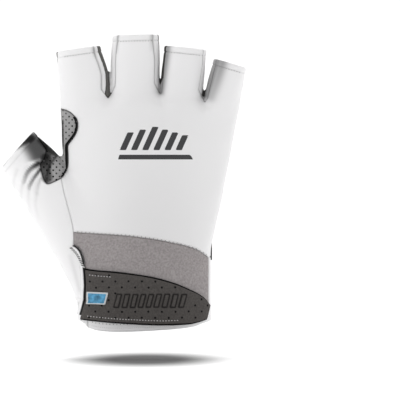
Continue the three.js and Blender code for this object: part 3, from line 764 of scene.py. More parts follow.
def add_object(mesh, tone, sharp, look, slot, *nodes):
    """An object of a mesh in metres, with its tones (painted shade and highlight among them) and material,
    tied to the CAD part.
    """
    mesh.shade_smooth()
    mesh.set_sharp_from_angle(angle=math.radians(sharp))
    # The tone attribute holds the seam lines and the painted shade and highlight as a brightness
    mesh.attributes.new("tone", "FLOAT", "POINT").data.foreach_set("value", tone.astype(np.float32))
    mesh.materials.clear()
    mesh.materials.append(look_material(look))
    obj = bpy.data.objects.new(mesh.name, mesh)
    bpy.context.scene.collection.objects.link(obj)
    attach(obj, "root")
    if nodes:
        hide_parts(*nodes)


def add_piece(name, solid, look, slot, *nodes, tone=None):
    """A piece from points in millimetres and triangles, bent like the glove."""
    points, faces = solid
    mesh = bpy.data.meshes.new(name)
    mesh.vertices.add(len(points))
    mesh.vertices.foreach_set("co", (arched(points) * MM).astype(np.float32).ravel())
    mesh.loops.add(faces.size)
    mesh.loops.foreach_set("vertex_index", faces.ravel().astype(np.int32))
    mesh.polygons.add(len(faces))
    mesh.polygons.foreach_set("loop_start", np.arange(0, faces.size, 3, dtype=np.int32))
    mesh.update(calc_edges=True)
    mesh.validate()
    add_object(mesh, np.ones(len(points)) if tone is None else tone, CLOTH_SHARP, look, slot, *nodes)


# The whole skin and its panels

STORE = {}
FOLD_FACING = -0.2
FOLD_FADE = (0.15, 0.7)
LUMP_LENGTHS = (26, 19, 13)
LUMP_HEIGHT = 0.12
LUMP_SEED = 7
RELAX_ROUNDS = 5
# The hem's step and groove, and the shade painted into its groove
HEM_STEP = 0.12
HEM_GROOVE = 0.25
HEM_SHADE = 0.12
THUMB_LENGTH = 60
THUMB_MOUTH_BESIDE = -45


def fold_shift(p, n):
    """How far the cloth stands out of the plain form, from the table of folds and slow lumps."""
    shift = np.zeros(len(p))
    flat = p[:, [0, 2]]
    for side, height, half, points in FOLDS:
        path = spline(points, 4 * len(points))
        low = path.min(0) - 3 * half
        high = path.max(0) + 3 * half
        near = np.all((flat > low) & (flat < high), 1) & (n[:, 1] * side > FOLD_FACING)
        gone, share = path_distance(flat[near], path)
        fade = smoothstep(share, 0, FOLD_FADE[0]) * (1 - smoothstep(share, FOLD_FADE[1], 1))
        shift[near] += size_of("fold_height") * height * fade * np.exp(-(gone / half) ** 2)
    random = np.random.default_rng(LUMP_SEED)
    for wave in LUMP_LENGTHS:
        way = random.normal(size=3)
        way *= 2 * math.pi / (wave * np.linalg.norm(way))
        shift += LUMP_HEIGHT * np.sin(p @ way + random.uniform(0, 6.28))
    return shift


def whole_skin():
    """The outer face of the whole glove with its folds, before it is cut at the openings."""
    axes = [np.arange(a, b, CELL) for a, b in zip(SKIN_LOW, SKIN_HIGH)]
    grid = np.stack(np.meshgrid(*axes, indexing="ij"), -1).reshape(-1, 3)
    values = glove_distance(grid).reshape([len(a) for a in axes])
    points, quads = net_surface(values, SKIN_LOW, CELL)
    faces = np.concatenate([quads[:, [0, 1, 2]], quads[:, [0, 2, 3]]])
    points = relaxed(points, faces, RELAX_ROUNDS)
    normals, _ = gradient(points)
    points = points + normals * fold_shift(points, normals)[:, None]
    normals = vertex_normals(points, faces)
    return Skin(points, normals, faces)


def above_mouths(skin):
    """Height above the mouth of the finger or thumb that a point belongs to."""
    p = skin.points
    owner = np.full(len(p), NOT_NEAR)
    height = np.full(len(p), -NOT_NEAR)
    for finger in FINGERS:
        near = finger_distance(p, finger)
        above = finger_place(p, finger)[2]
        closer = (near < owner) & (p[:, 2] > MOUTHS_ABOVE)
        owner[closer] = near[closer]
        height[closer] = above[closer]
    at, _, above = thumb_place(p)
    near = thumb_distance(p)
    thumb = (p[:, 0] < THUMB_MOUTH_BESIDE) & (near < owner) & (at > 0.5)
    height[thumb] = np.where(at[thumb] < 1, (at[thumb] - 1) * THUMB_LENGTH, above[thumb])
    return height


HEM_LINE = line(HEM)
PALM_CUT_LINE = line(PALM_CUT)
PATCH_RING = np.concatenate([line(PATCH_RIGHT), line(PATCH_LEFT)])
SLIT_LINE = line(SLIT)
THUMB_INNER_LINE = place(THUMB_INNER)
LEATHER_LINE = line(LEATHER)
LOOP_LINE = line(LOOP_TOP)


def height_on(path, x):
    """Height of a line that runs across the glove, at a place across."""
    order = np.argsort(path[:, 0])
    return np.interp(x, path[order, 0], path[order, 1])


def below_wrist(skin):
    """Positive where the glove ends at the wrist, and in the palm's cut."""
    x, y, z = skin.points.T
    return np.maximum(height_on(HEM_LINE, x) - z, np.minimum(height_on(PALM_CUT_LINE, x) - z, y))


def finger_line(index, at):
    """A point in X and Z on a finger's middle line."""
    root, mouth, _ = finger_ends(FINGERS[index])
    return root + at * (mouth - root)


def gap_sides(skin, gap):
    """Where a point lies between two fingers, and the limits of the white strip there."""
    p = skin.points
    ring = [*(finger_line(gap, at) for at in (PAST_MOUTH, NEAR_MOUTH)), STRIP_ENDS[gap],
            *(finger_line(gap + 1, at) for at in (NEAR_MOUTH, PAST_MOUTH))]
    between = ring_distance(skin.flat(), ring)
    left = finger_distance(p, FINGERS[gap])
    right = finger_distance(p, FINGERS[gap + 1])
    share = smoothstep(right - left, -STRIP_BLEND, STRIP_BLEND)

    def limits(index, side):
        at = smoothstep(finger_place(p, FINGERS[index])[0], *STRIP_FADE)
        low, high, web_low, web_high = STRIPS[index, side]
        return web_low + (low - web_low) * at, web_high + (high - web_high) * at

    sides = zip(limits(gap, 1), limits(gap + 1, -1))
    low, high = (on_left * share + on_right * (1 - share) for on_left, on_right in sides)
    return between, low, high


def strip_region(gap):
    """The white strip between two fingers."""
    def side(skin):
        between, low, high = gap_sides(skin, gap)
        y = skin.points[:, 1]
        return np.maximum.reduce([between, low - y, y - high])
    return side


def patch_region(skin):
    """The perforated patch over the web of the thumb."""
    return np.maximum(ring_distance(skin.flat(), PATCH_RING), skin.points[:, 1])


def thumb_region(skin):
    """The white panel round the thumb."""
    flat = skin.flat()
    back = [*THUMB_INNER_LINE, *line(THUMB_SEAM), *SLIT_LINE[1:], (-FAR, -FAR),
            (-FAR, THUMB_INNER_LINE[0][1])]
    palm = [(-FAR, -FAR), (LEATHER_LINE[0][0], -FAR), *LEATHER_LINE, (-FAR, LEATHER_LINE[-1][1])]
    share = smoothstep(skin.points[:, 1], -0.5, 0.5)
    return ring_distance(flat, back) * (1 - share) + ring_distance(flat, palm) * share


def hem_region(skin):
    """The wrist's hem and the strip up the little finger's side."""
    x, y, z = skin.points.T
    hem = z - height_on(HEM_LINE, x) - HEM_HEIGHT
    edge = SIDE_SHARE * width_at(z / GLOVE_LENGTH) - SIDE_STRIP - x
    strip = np.maximum(edge, z - SIDE_STRIP_TOP * GLOVE_LENGTH)
    return np.maximum(np.minimum(hem, strip), y)


def loop_region(skin):
    """The loop fabric on the back of the wrist."""
    x, y, z = skin.points.T
    return np.maximum(z - height_on(LOOP_LINE, x), y)


def palm_region(skin):
    """The leather of the palm, the finger fronts and the thumb's inner side."""
    flat = skin.flat()
    y = skin.points[:, 1]
    wrap = [(THUMB_INNER_LINE[0][0], FAR), *THUMB_INNER_LINE[:3], *place(((-0.52, 0.6), (-0.5, 0.68))),
            (place(((-0.56, 0.8),))[0][0], FAR)]
    side = np.minimum(-y, ring_distance(flat, wrap))
    for gap in range(3):
        between, low, _ = gap_sides(skin, gap)
        side = np.minimum(side, np.maximum(between, low - y))
    return np.maximum(side, height_on(PALM_CUT_LINE, skin.points[:, 0]) - skin.points[:, 2] - 0.05)


# The regions in the order in which they are cut from the skin: name, function, scoring and seam shade
REGIONS = (
    ("fourchette_index_middle", strip_region(0), 0.45, 0.3),
    ("fourchette_middle_ring", strip_region(1), 0.45, 0.3),
    ("fourchette_ring_pinky", strip_region(2), 0.45, 0.3),
    ("crotch_patch", patch_region, 0.5, 0.75),
    ("thumb_panel", thumb_region, 0.5, 0.15),
    ("wrist_hem", hem_region, 0.5, 0.15),
    ("loop_panel", loop_region, 0.5, 0.3),
    ("palm_panel", palm_region, 0.5, 0.35),
)


def panels():
    """All parts of the glove's shell, as skins by name."""
    if not STORE:
        skin = whole_skin()
        STORE["whole"] = skin
        skin, _ = skin.split(above_mouths)
        hem = size_of("mouth_hem")
        for level in (0.4, 0, -0.4):
            skin = skin.scored(above_mouths, level - hem)
        below = above_mouths(skin) + hem
        groove = np.exp(-(below / 0.35) ** 2)
        band = smoothstep(below, 0, 0.6)
        skin.points = skin.points + skin.normals * (HEM_STEP * band - HEM_GROOVE * groove)[:, None]
        # Painted shade in the hem's groove
        skin.shade = np.maximum(skin.shade, HEM_SHADE * groove)
        skin, _ = skin.split(below_wrist)
        for name, region, score, shade in REGIONS:
            STORE[name], skin = skin.split(region, score, shade)
        STORE["back_panel"] = skin
    return STORE


# Threads, holes and print

BACK = -1
PALM = 1
RAY_START = 60


def surface_tree(skin):
    """A search tree over a skin."""
    return BVHTree.FromPolygons(skin.points.tolist(), skin.faces.tolist())


def cast(tree, x, z, side):
    """The point and direction of a surface as seen from the back or the palm, or None."""
    start = Vector((x, side * RAY_START, z))
    point, normal, _, _ = tree.ray_cast(start, Vector((0, -side, 0)))
    if point is None:
        return None
    if normal.y * side < 0:
        normal = -normal
    return np.array(point), np.array(normal)


def grain_form():
    """A small rounded grain of unit length, width and height, lying along X."""
    sides, rings = 8, 5
    points = [(-0.5, 0, 0)]
    for r in range(1, rings):
        turn = math.pi * r / rings
        for k in range(sides):
            round_at = 2 * math.pi * k / sides
            points.append((-0.5 * math.cos(turn), 0.5 * math.sin(turn) * math.cos(round_at),
                           0.5 * math.sin(turn) * math.sin(round_at)))
    points.append((0.5, 0, 0))
    faces = []
    for k in range(sides):
        after = (k + 1) % sides
        faces.append((0, 1 + after, 1 + k))
        for r in range(rings - 2):
            a = 1 + r * sides + k
            b = 1 + r * sides + after
            faces += [(a, b, b + sides), (a, b + sides, a + sides)]
        last = 1 + (rings - 2) * sides
        faces.append((last + k, last + after, len(points) - 1))
    return np.array(points), np.array(faces)


def disc_form():
    """A flat round spot of unit width."""
    sides = 12
    turn = 2 * math.pi * np.arange(sides) / sides
    points = np.stack([0.5 * np.cos(turn), 0.5 * np.sin(turn), np.zeros(sides)], 1)
    points = np.concatenate([points, [(0, 0, 0)]])
    faces = [(k, (k + 1) % sides, sides) for k in range(sides)]
    return points, np.array(faces)


def scattered(form, spots):
    """Points and faces of copies of a small form. A spot: place, way along it, direction out, and sizes."""
    base, faces = form
    points = []
    for place_at, along, out, sizes in spots:
        out = out / np.linalg.norm(out)
        along = along - out * (along @ out)
        along = along / np.linalg.norm(along)
        axes = np.stack([along, np.cross(out, along), out])
        points.append(place_at + (base * sizes) @ axes)
    step = len(base)
    rows = np.concatenate([faces + i * step for i in range(len(spots))])
    return np.concatenate(points), rows


def even_places(path, pitch):
    """Places at an even pitch along a path in X and Z, with the path's direction there."""
    gone = np.concatenate([[0], np.cumsum(np.linalg.norm(np.diff(path, axis=0), axis=1))])
    at = np.arange(pitch / 2, gone[-1], pitch)
    spots = np.stack([np.interp(at, gone, path[:, k]) for k in (0, 1)], 1)
    ahead = np.stack([np.interp(at + 0.1, gone, path[:, k]) for k in (0, 1)], 1)
    behind = np.stack([np.interp(at - 0.1, gone, path[:, k]) for k in (0, 1)], 1)
    return spots, ahead - behind


def stitch_spots(tree, path, pitch, sizes, turn, lift):
    """Stitches along a path on the back, each turned from the path by an angle in degrees."""
    spots = []
    c, s = math.cos(math.radians(turn)), math.sin(math.radians(turn))
    for (x, z), (dx, dz) in zip(*even_places(path, pitch)):
        hit = cast(tree, x, z, BACK)
        if hit is not None:
            point, normal = hit
            along = np.array((dx * c - dz * s, 0, dx * s + dz * c))
            spots.append((point + normal * lift, along, normal, np.array(sizes)))
    return spots


LOOP_STITCH = (1.5, 0.5, 0.3)
HEM_STITCH = (0.8, 0.36, 0.24)
STRAP_STITCH = (0.9, 0.5, 0.3)
CORD_STITCH = (2.3, 0.75, 0.6)
TICK = (0.7, 0.4, 0.2)

# Rows of stitches on the cloth: line, its ends across, shift up, pitch, stitch, turn, lift and tone
CLOTH_ROWS = (
    (LOOP_LINE, -37, 33.5, 0.5, 1.05, LOOP_STITCH, 75, 0.05, 1),
    (HEM_LINE, -30, 33, 2, 1.15, HEM_STITCH, 0, 0.02, 1),
    (LOOP_LINE, -37, 33.5, 0.3, 2.15, TICK, 90, 0.2, 0.25),
    (HEM_LINE, -29, -4, 4, 1.9, TICK, 90, 0.02, 0.45),
)
MOUTH_STITCH_SHARE = 0.36
MOUTH_STITCH_PITCH = 1.5
MOUTH_STITCH_TONE = 0.6
CORD = ((-39.3, 45.2), (-38.1, 44), (-35.9, 41.3), (-34, 37.8), (-32.6, 34.6))
CORD_PITCH = 0.7
CORD_TURN = 40
CORD_LIFT = 1.4
CORD_TONES = (0.06, 1)

# Rows of stitches on the strap: line, its ends across, and shift up
STRAP_ROWS = ((STRAP_TOP, -29.5, -18, -3), (STRAP_BOTTOM, -30, 18, 2.6))
STRAP_STITCH_PITCH = 1.5
STRAP_HOLE_ROW = 3.23
STRAP_HOLE_START = (-4.9, 23.8)
STRAP_HOLE_SHARE = 1.1
HOLE_LIFT = 0.04

# Hole lattices: lowest and highest row, and first and last column, with the tones that holes are drawn from
PALM_LATTICE = (5, 60, -16, 12)
PALM_HOLE_TONES = (1, 6)
PALM_SEED = 11
PATCH_LATTICE = (24, 72, -20, -6)
PATCH_HOLE_TONES = (1, 8)
PATCH_SEED = 5


def add_scatter(name, form, spots, look, slot, tone=None):
    """One object of many small copies."""
    values = None if tone is None else np.repeat(tone, len(form[0]))
    add_piece(name, scattered(form, spots), look, slot, tone=values)


def path_part(path, low, high):
    """The part of a path between two places across."""
    x = np.linspace(low, high, 60)
    return np.stack([x, height_on(path, x)], 1)


def mouth_line(finger, below):
    """A line across the back of a finger at a distance below its mouth."""
    _, mouth, turn = finger_ends(finger)
    side = np.array([math.cos(turn), math.sin(turn)])
    down = np.array([math.sin(turn), -math.cos(turn)])
    half = finger[5] * FINGER_WIDTH * MOUTH_STITCH_SHARE
    return np.stack([mouth + down * below + side * t for t in np.linspace(-half, half, 20)])


def build_threads():
    """Makes the stitches along the seams, the hems and the strap."""
    tree = surface_tree(panels()["whole"])
    spots = []
    tone = []
    for path, low, high, shift, pitch, stitch, turn, lift, level in CLOTH_ROWS:
        row = stitch_spots(tree, path_part(path, low, high) + (0, shift), pitch, stitch, turn, lift)
        spots += row
        tone += [level] * len(row)
    for finger in FINGERS:
        path = mouth_line(finger, size_of("mouth_hem") + 0.3)
        row = stitch_spots(tree, path, MOUTH_STITCH_PITCH, HEM_STITCH, 0, 0.02)
        spots += row
        tone += [MOUTH_STITCH_TONE] * len(row)
    cord = stitch_spots(tree, spline(CORD, 40), CORD_PITCH, CORD_STITCH, CORD_TURN, CORD_LIFT)
    tone += [CORD_TONES[i % 2] for i in range(len(cord))]
    add_scatter("seam_threads", grain_form(), spots + cord, "pale_thread", "white_fabric", tone)
    lift = STRAP_LIFT + size_of("strap_thickness")
    spots = []
    for table, low, high, shift in STRAP_ROWS:
        path = path_part(line(table), low, high) + (0, shift)
        spots += stitch_spots(tree, path, STRAP_STITCH_PITCH, STRAP_STITCH, 0, lift)
    add_scatter("strap_threads", grain_form(), spots, "grey_thread", "strap_leather")


def section_x(z, arc):
    """The place across at a distance along the back of the wrist from its middle."""
    row = [np.interp(z / GLOVE_LENGTH, HAND_TABLE[:, 0], HAND_TABLE[:, k]) for k in range(1, 7)]
    wide, deep, power = width_at(z / GLOVE_LENGTH), depth_at(z / GLOVE_LENGTH), 2 / row[5]
    turn = np.linspace(0, math.pi, 400)
    c, s = np.cos(turn), np.sin(turn)
    x = np.sign(c) * np.abs(c) ** power * np.where(c > 0, row[1], row[0]) * wide
    y = s ** power * row[2] * deep
    gone = np.concatenate([[0], np.cumsum(np.hypot(np.diff(x), np.diff(y)))])
    middle = np.interp(0, -x, gone)
    return np.interp(middle - arc, gone, x)


def hole_spot(hit, lift, width):
    """One round hole on a surface."""
    point, normal = hit
    return point + normal * lift, np.array((1.0, 0.0, 0.0)), normal, np.array((width, width, 1))


def lattice(limits, pitch):
    """Places of a diamond lattice, as pairs across and up."""
    low, high, left, right = limits
    return [((k + 0.5 * (row % 2)) * pitch, row * pitch / 2)
            for row in range(low, high) for k in range(left, right)]


def lattice_spots(skins, places, side, least):
    """Holes where a lattice meets the skins on one side, where they face that side well enough."""
    spots = []
    for skin in skins:
        tree = surface_tree(skin)
        for x, z in places:
            hit = cast(tree, x, z, side)
            if hit is not None and hit[1][1] * side > least:
                spots.append(hole_spot(hit, HOLE_LIFT, size_of("hole_width")))
    return spots


def build_strap_holes():
    """Makes the perforations of the strap, which leave out its label and its ribs."""
    tree = surface_tree(panels()["whole"])
    face_ring = grown(STRAP_RING, -STRAP_EDGE - 1)
    label = grown(place(LABEL), 0.6)
    across, up = RIB_COUNT * RIB_PITCH, RIB_LENGTH + 1
    ribs = place((RIB_START,)) + ((-1, -1), (across, -1), (across + RIB_LEAN, up), (RIB_LEAN - 1, up))
    lift = STRAP_LIFT + size_of("strap_thickness") + HOLE_LIFT
    spots = []
    for row in range(-6, 5):
        z = STRAP_HOLE_START[1] + row * STRAP_HOLE_ROW
        for k in range(-8, 8):
            arc = STRAP_HOLE_START[0] + (k + 0.5 * (row % 2)) * size_of("strap_pitch")
            flat = np.array([[section_x(z, arc), z]])
            inside = ring_distance(flat, face_ring)[0] < 0
            covered = min(ring_distance(flat, label)[0], ring_distance(flat, ribs)[0]) < 0
            hit = cast(tree, flat[0, 0], z, BACK) if inside and not covered else None
            if hit is not None:
                spots.append(hole_spot(hit, lift, STRAP_HOLE_SHARE * size_of("hole_width")))
    # Flat discs in the holes' painted shade stand in for the perforations
    add_scatter("strap_holes", disc_form(), spots, "hole_painted_shade", "strap_leather")


def build_lattice_holes():
    """Makes the perforations of the palm with its pull tabs, and of the patch."""
    palm = [panels()["palm_panel"]]
    for finger in TAB_FINGERS.values():
        skin = tab_skin(finger)
        skin.points = skin.points + skin.normals * TAB_THICKNESS
        palm.append(skin)
    places = lattice(PALM_LATTICE, size_of("palm_pitch"))
    add_holes("palm", lattice_spots(palm, places, PALM, 0.25), PALM_HOLE_TONES, PALM_SEED)
    places = lattice(PATCH_LATTICE, size_of("patch_pitch"))
    patch = [panels()["crotch_patch"]]
    add_holes("patch", lattice_spots(patch, places, BACK, 0.1), PATCH_HOLE_TONES, PATCH_SEED)


def add_holes(name, spots, tones, seed):
    """One object of holes, of which some are darker and some lighter."""
    tone = np.random.default_rng(seed).choice(tones, len(spots))
    # Flat discs in the holes' painted shade stand in for the perforations
    add_scatter(name + "_holes", disc_form(), spots, "hole_painted_shade", name + "_leather", tone)


PRINT_BAR_HEIGHTS = (9.5, 11, 12.5, 11, 9.5, 8)
PRINT_START = (-13.5, 97.5)
PRINT_PITCH = 6
PRINT_BAR_WIDTH = 3.4
PRINT_LEAN = 0.45
PRINT_STRIPE = ((-14.5, 92.5), (26, 92.5), (24.5, 95), (-13.5, 95))


def build_print():
    """Makes the plain printed bars on the back of the hand."""
    rings = [np.array(PRINT_STRIPE, float)]
    for i, height in enumerate(PRINT_BAR_HEIGHTS):
        start = np.add(PRINT_START, (i * PRINT_PITCH, 0))
        rings.append(start + leaning(PRINT_BAR_WIDTH, height, height * PRINT_LEAN))
    points = np.zeros((0, 3))
    faces = np.zeros((0, 3), int)
    for ring in rings:
        more, more_faces = slab(back_layer(ring, 0.2), 0.02, PRINT_THICKNESS, 0.05)
        faces = np.concatenate([faces, more_faces + len(points)])
        points = np.concatenate([points, more])
    add_piece("back_print", (points, faces), "print_ink", "white_fabric")


def leaning(width, height, lean):
    """The outline of an upright bar whose top is shifted to the side."""
    return np.array(((0, 0), (width, 0), (width + lean, height), (lean, height)))


# How far the skin has to face the back or the palm to take its shades, and the soft shades painted on the
# cloth and leather, darker as painted shade of creases, folds, the thumb, the sides of the fingers and the
# middle of the back, or, below zero, lighter as painted highlight on fold crests: side, amount at the start
# and at the end, half width, sharpness, and points across and up in millimetres
SHADE_FACING = -0.3
PAINTED_SHADES = (
    (-1, 0.9, 0.9, 6.8, 4, ((-60.5, 102), (-57.8, 97.5), (-56.4, 94.8))),
    (-1, 0.88, 0.5, 2.3, 4, ((-61.6, 104), (-68.2, 99.7), (-72.9, 96.1), (-76.5, 91.3))),
    (-1, 0.8, 0.85, 1.7, 4, ((-56.6, 103), (-52.8, 98.7), (-48.8, 96))),
    (-1, -1.8, -0.3, 0.7, 2, ((-62.8, 101.1), (-68.2, 97.7), (-72.2, 94.4), (-75.6, 89.1))),
    (-1, -2.2, -0.2, 0.9, 2, ((-56.5, 92.2), (-61.4, 90.3), (-64.8, 87), (-66.2, 80.2))),
    (-1, 0.95, 0.35, 1.4, 4, ((-57.4, 90.3), (-61.4, 87.6), (-64.1, 84.2), (-65.5, 80.5))),
    (-1, 0.92, 0.3, 1, 4, ((-56.4, 86.9), (-59.4, 82.9), (-61.8, 78.8), (-62.4, 77))),
    (-1, 0.4, 0.1, 0.8, 2, ((-56, 82.2), (-57.4, 78.2), (-58.1, 74.1))),
    (-1, 0.76, 0.76, 3, 8, ((-53.2, 93), (-53.4, 88), (-52.6, 82.6))),
    (-1, 0.8, 0.7, 0.8, 4, ((-47.6, 94.6), (-50.8, 89.8), (-52.4, 84.8), (-53, 80.9))),
    (-1, 0.9, 0.9, 0.5, 4, ((-44.3, 99.5), (-44.4, 113.5))),
    (-1, 0.6, 0.6, 2.1, 2, ((12.4, 153.9), (11.3, 146.3), (8.6, 129))),
    (-1, 0.6, 0.4, 3.2, 2, ((41.8, 144.7), (39.2, 136.2), (35.6, 126.4))),
    (-1, 0.5, 0.5, 2, 4, ((38.6, 146), (35.8, 137), (32.6, 127))),
    (-1, 0.35, 0, 1, 2, ((3.6, 159), (3.5, 150))),
    (-1, 0.35, 0, 1, 2, ((-27.8, 152), (-26.5, 146))),
    (-1, 0.3, 0.1, 0.8, 2, ((-14.4, 159), (-15.1, 150))),
    (-1, 0.11, 0.07, 28, 2, ((4, 60), (8, 120))),
    (-1, 0.25, 0.1, 0.8, 2, ((-35.6, 15.1), (-36.7, 10.3))),
    (-1, 0.5, 0.5, 0.4, 2, ((-30.8, 6), (-30.6, 2.2))),
    (-1, 0.12, 0.12, 1.2, 2, ((-40, 40.5), (-37.3, 30.2), (-35.1, 22.1))),
    (-1, 0.12, 0.04, 0.9, 2, ((-68.9, 86.9), (-70.9, 80.2), (-70.2, 73.4))),
    (-1, 0.14, 0.03, 0.9, 2, ((-66.2, 78.8), (-66.8, 73.4), (-66, 66))),
    (-1, 0.14, 0.03, 0.9, 2, ((-62.4, 76.1), (-62.8, 70.7), (-61.5, 63))),
    (-1, 0.14, 0.03, 0.9, 2, ((-58.1, 74.1), (-58.9, 68), (-57, 60))),
    (1, 0.45, 0.1, 1.8, 2, ((-45, 94), (-36, 98.5), (-27, 99), (-15.4, 91))),
    (1, 0.4, 0.1, 1.6, 2, ((-44, 92), (-38, 89), (-32, 81))),
    (1, 0.2, 0.1, 9, 2, ((-42, 95), (-30, 93))),
)


def tone_with_painted_shade(skin, inner=1):
    """The brightness of each point, with the seam lines and the painted shade and highlight, on the outer
    face and then the inner one.
    """
    tone = 1 - skin.shade
    flat = skin.flat()
    for side, start, end, half, sharpness, points in PAINTED_SHADES:
        gone, share = path_distance(flat, spline(points, 3 * len(points)))
        amount = (start + (end - start) * share) * np.exp(-(gone / half) ** sharpness)
        tone = tone * (1 - amount * (skin.normals[:, 1] * side > SHADE_FACING))
    tone = np.minimum(tone, 1)
    return np.concatenate([tone, tone * inner])


# How much lighter the smooth inner side of the loop fabric is than its pile
LOOP_INNER_TONE = 2.3

PANEL_SLOTS = {
    "back_panel": "white_fabric",
    "palm_panel": "palm_leather",
    "thumb_panel": "white_fabric",
    "fourchette_index_middle": "white_fabric",
    "fourchette_middle_ring": "white_fabric",
    "fourchette_ring_pinky": "white_fabric",
    "crotch_patch": "patch_leather",
    "loop_panel": "loop_fabric",
    "wrist_hem": "white_fabric",
}


def build_panels():
    """Makes the objects of the shell."""
    wall = size_of("wall")
    for name, slot in PANEL_SLOTS.items():
        skin = panels()[name]
        tone = tone_with_painted_shade(skin, LOOP_INNER_TONE if name == "loop_panel" else 1)
        add_piece("cover_" + name, slab(skin, -wall, wall, WALL_ROUNDING), slot, slot, name, tone=tone)


def side_strip(path, width):
    """The outline of a strip of even width beside a line."""
    along = np.gradient(path, axis=0)
    along /= np.linalg.norm(along, axis=1, keepdims=True)
    side = path + np.stack([along[:, 1], -along[:, 0]], 1) * width
    return np.concatenate([path, side[::-1]])


def grown(ring, distance):
    """An outline moved outwards by a distance."""
    ring = np.asarray(ring, float)
    area = np.sum(ring[:, 0] * np.roll(ring[:, 1], -1) - ring[:, 1] * np.roll(ring[:, 0], -1))
    if area < 0:
        ring = ring[::-1]
    first = ring - np.roll(ring, 1, axis=0)
    second = np.roll(ring, -1, axis=0) - ring
    first /= np.maximum(np.linalg.norm(first, axis=1, keepdims=True), 1e-9)
    second /= np.maximum(np.linalg.norm(second, axis=1, keepdims=True), 1e-9)
    out = np.stack([first[:, 1] + second[:, 1], -first[:, 0] - second[:, 0]], 1)
    stretch = np.maximum(1 + np.sum(first * second, 1), 0.5)
    return ring + out * (distance / stretch)[:, None]


def finer(skin):
    """The skin with each triangle cut into four."""
    pairs, index = np.unique(np.sort(sides_of(skin.faces), axis=1), axis=0, return_inverse=True)
    index = index.reshape(-1) + len(skin.points)
    count = len(skin.faces)
    ab, bc, ca = index[:count], index[count:2 * count], index[2 * count:]
    a, b, c = skin.faces.T
    faces = np.concatenate([np.stack(t, 1) for t in ((a, ab, ca), (ab, b, bc), (ca, bc, c), (ab, bc, ca))])
    first, second = pairs.T
    values = (skin.points, skin.normals, skin.edge, skin.shade)
    points, normals, edge, shade = (np.concatenate([v, (v[first] + v[second]) / 2]) for v in values)
    return Skin(points, normals, faces, edge, shade)


BACK_LAYER_DEPTH = 2
BINDING_OUTER_SHADE = 0.97
BINDING_INNER_SHADE = 0.35


def on_back(ring):
    """A function that is negative inside an outline on the back of the glove."""
    return lambda skin: np.maximum(ring_distance(skin.flat(), ring), skin.points[:, 1] + LAYER_GAP)


def back_layer(ring, score, levels=0):
    """The part of the glove's skin inside an outline on its back."""
    whole = panels()["whole"]
    near = np.all((whole.flat() > ring.min(0) - 3) & (whole.flat() < ring.max(0) + 3), 1)
    near &= whole.points[:, 1] < BACK_LAYER_DEPTH
    skin = whole.trimmed(whole.faces[np.all(near[whole.faces], 1)])
    for _ in range(levels):
        skin = finer(skin)
    skin, _ = skin.split(on_back(ring), score)
    return skin


STRAP_RING = np.concatenate([line(STRAP_TOP), line(STRAP_BOTTOM), line(STRAP_START)[1:-1]])
RIB_START = (-0.22, 0.084)
RIB_COUNT = 9
RIB_PITCH = 4.2
RIB_WIDTH = 2.1
RIB_LENGTH = 6.5
RIB_LEAN = 1.6
RIB_SCORES = (0.25, 0, -0.35)
# Painted shade in the grooves beside the raised ribs, and painted highlight on their tops as a shade below
# zero
RIB_EDGE_PAINTED_SHADE = 0.9
RIB_TOP_PAINTED_HIGHLIGHT = -0.25


def add_layer(node, skin, lift, thickness, radius, look):
    """Makes a solid layer over the glove in place of a CAD node."""
    add_piece("cover_" + node, slab(skin, lift, thickness, radius), look, look, node, tone=tone_with_painted_shade(skin))


def build_edging():
    """Makes the black edge along the patch."""
    skin = back_layer(side_strip(line(PATCH_RIGHT)[9:], size_of("edging_width")), 0.3)
    add_layer("patch_edging", skin, LAYER_GAP, EDGING_THICKNESS, 0.4, "black_fabric")


def build_binding():
    """Makes the binding along the slit, with its dark outer edge."""
    width = size_of("binding_width")
    skin = back_layer(side_strip(line(SLIT)[:-12], width), 0.5, 1)
    gone, _ = path_distance(skin.flat(), SLIT_LINE)
    outer = BINDING_OUTER_SHADE * (1 - smoothstep(gone, 0.5, 0.9))
    skin.shade = np.maximum(outer, BINDING_INNER_SHADE * smoothstep(gone, width - 0.5, width))
    add_layer("slit_binding", skin, LAYER_GAP, BINDING_THICKNESS, 0.5, "white_fabric")


def rib_rings():
    """The outlines of the strap's raised ribs."""
    form = place((RIB_START,)) + leaning(RIB_WIDTH, RIB_LENGTH, RIB_LEAN)
    return [form + (i * RIB_PITCH, 0) for i in range(RIB_COUNT)]


def build_strap():
    """Makes the strap's black backing and its leather face with the raised ribs."""
    skin = back_layer(STRAP_RING, 0.3)
    add_layer("strap_backing", skin, LAYER_GAP, HOOK_BACKING, 0.3, "black_fabric")
    skin = back_layer(grown(STRAP_RING, -STRAP_EDGE), 0.4, 1)
    rings = rib_rings()

    def rib_distance(part):
        return np.minimum.reduce([ring_distance(part.flat(), ring) for ring in rings])

    for level in RIB_SCORES:
        skin = skin.scored(rib_distance, level)
    depth = rib_distance(skin)
    rise = size_of("rib_height") * smoothstep(-depth, -0.2, 0.4)
    skin.points = skin.points + skin.normals * rise[:, None]
    # Painted shade round the ribs' feet and painted highlight on their tops
    rib_painted_shade = RIB_EDGE_PAINTED_SHADE * np.exp(-((depth - 0.15) / 0.4) ** 2)
    skin.shade = np.maximum(rib_painted_shade, RIB_TOP_PAINTED_HIGHLIGHT * smoothstep(-depth, 0.2, 0.5))
    add_layer("strap_face", skin, STRAP_LIFT, size_of("strap_thickness"), 0.4, "strap_leather")


def build_label():
    """Makes the sewn label and its plain coloured middle."""
    thickness = size_of("label_thickness")
    add_layer("label_tag", back_layer(place(LABEL), 0.2, 1), LABEL_LIFT, thickness, 0.2, "label_cloth")
    skin = back_layer(grown(place(LABEL), -LABEL_BORDER), 0.2, 1)
    solid = slab(skin, LABEL_LIFT + thickness, PRINT_THICKNESS, 0.05)
    add_piece("label_print", solid, "label_print", "label_cloth", tone=tone_with_painted_shade(skin))


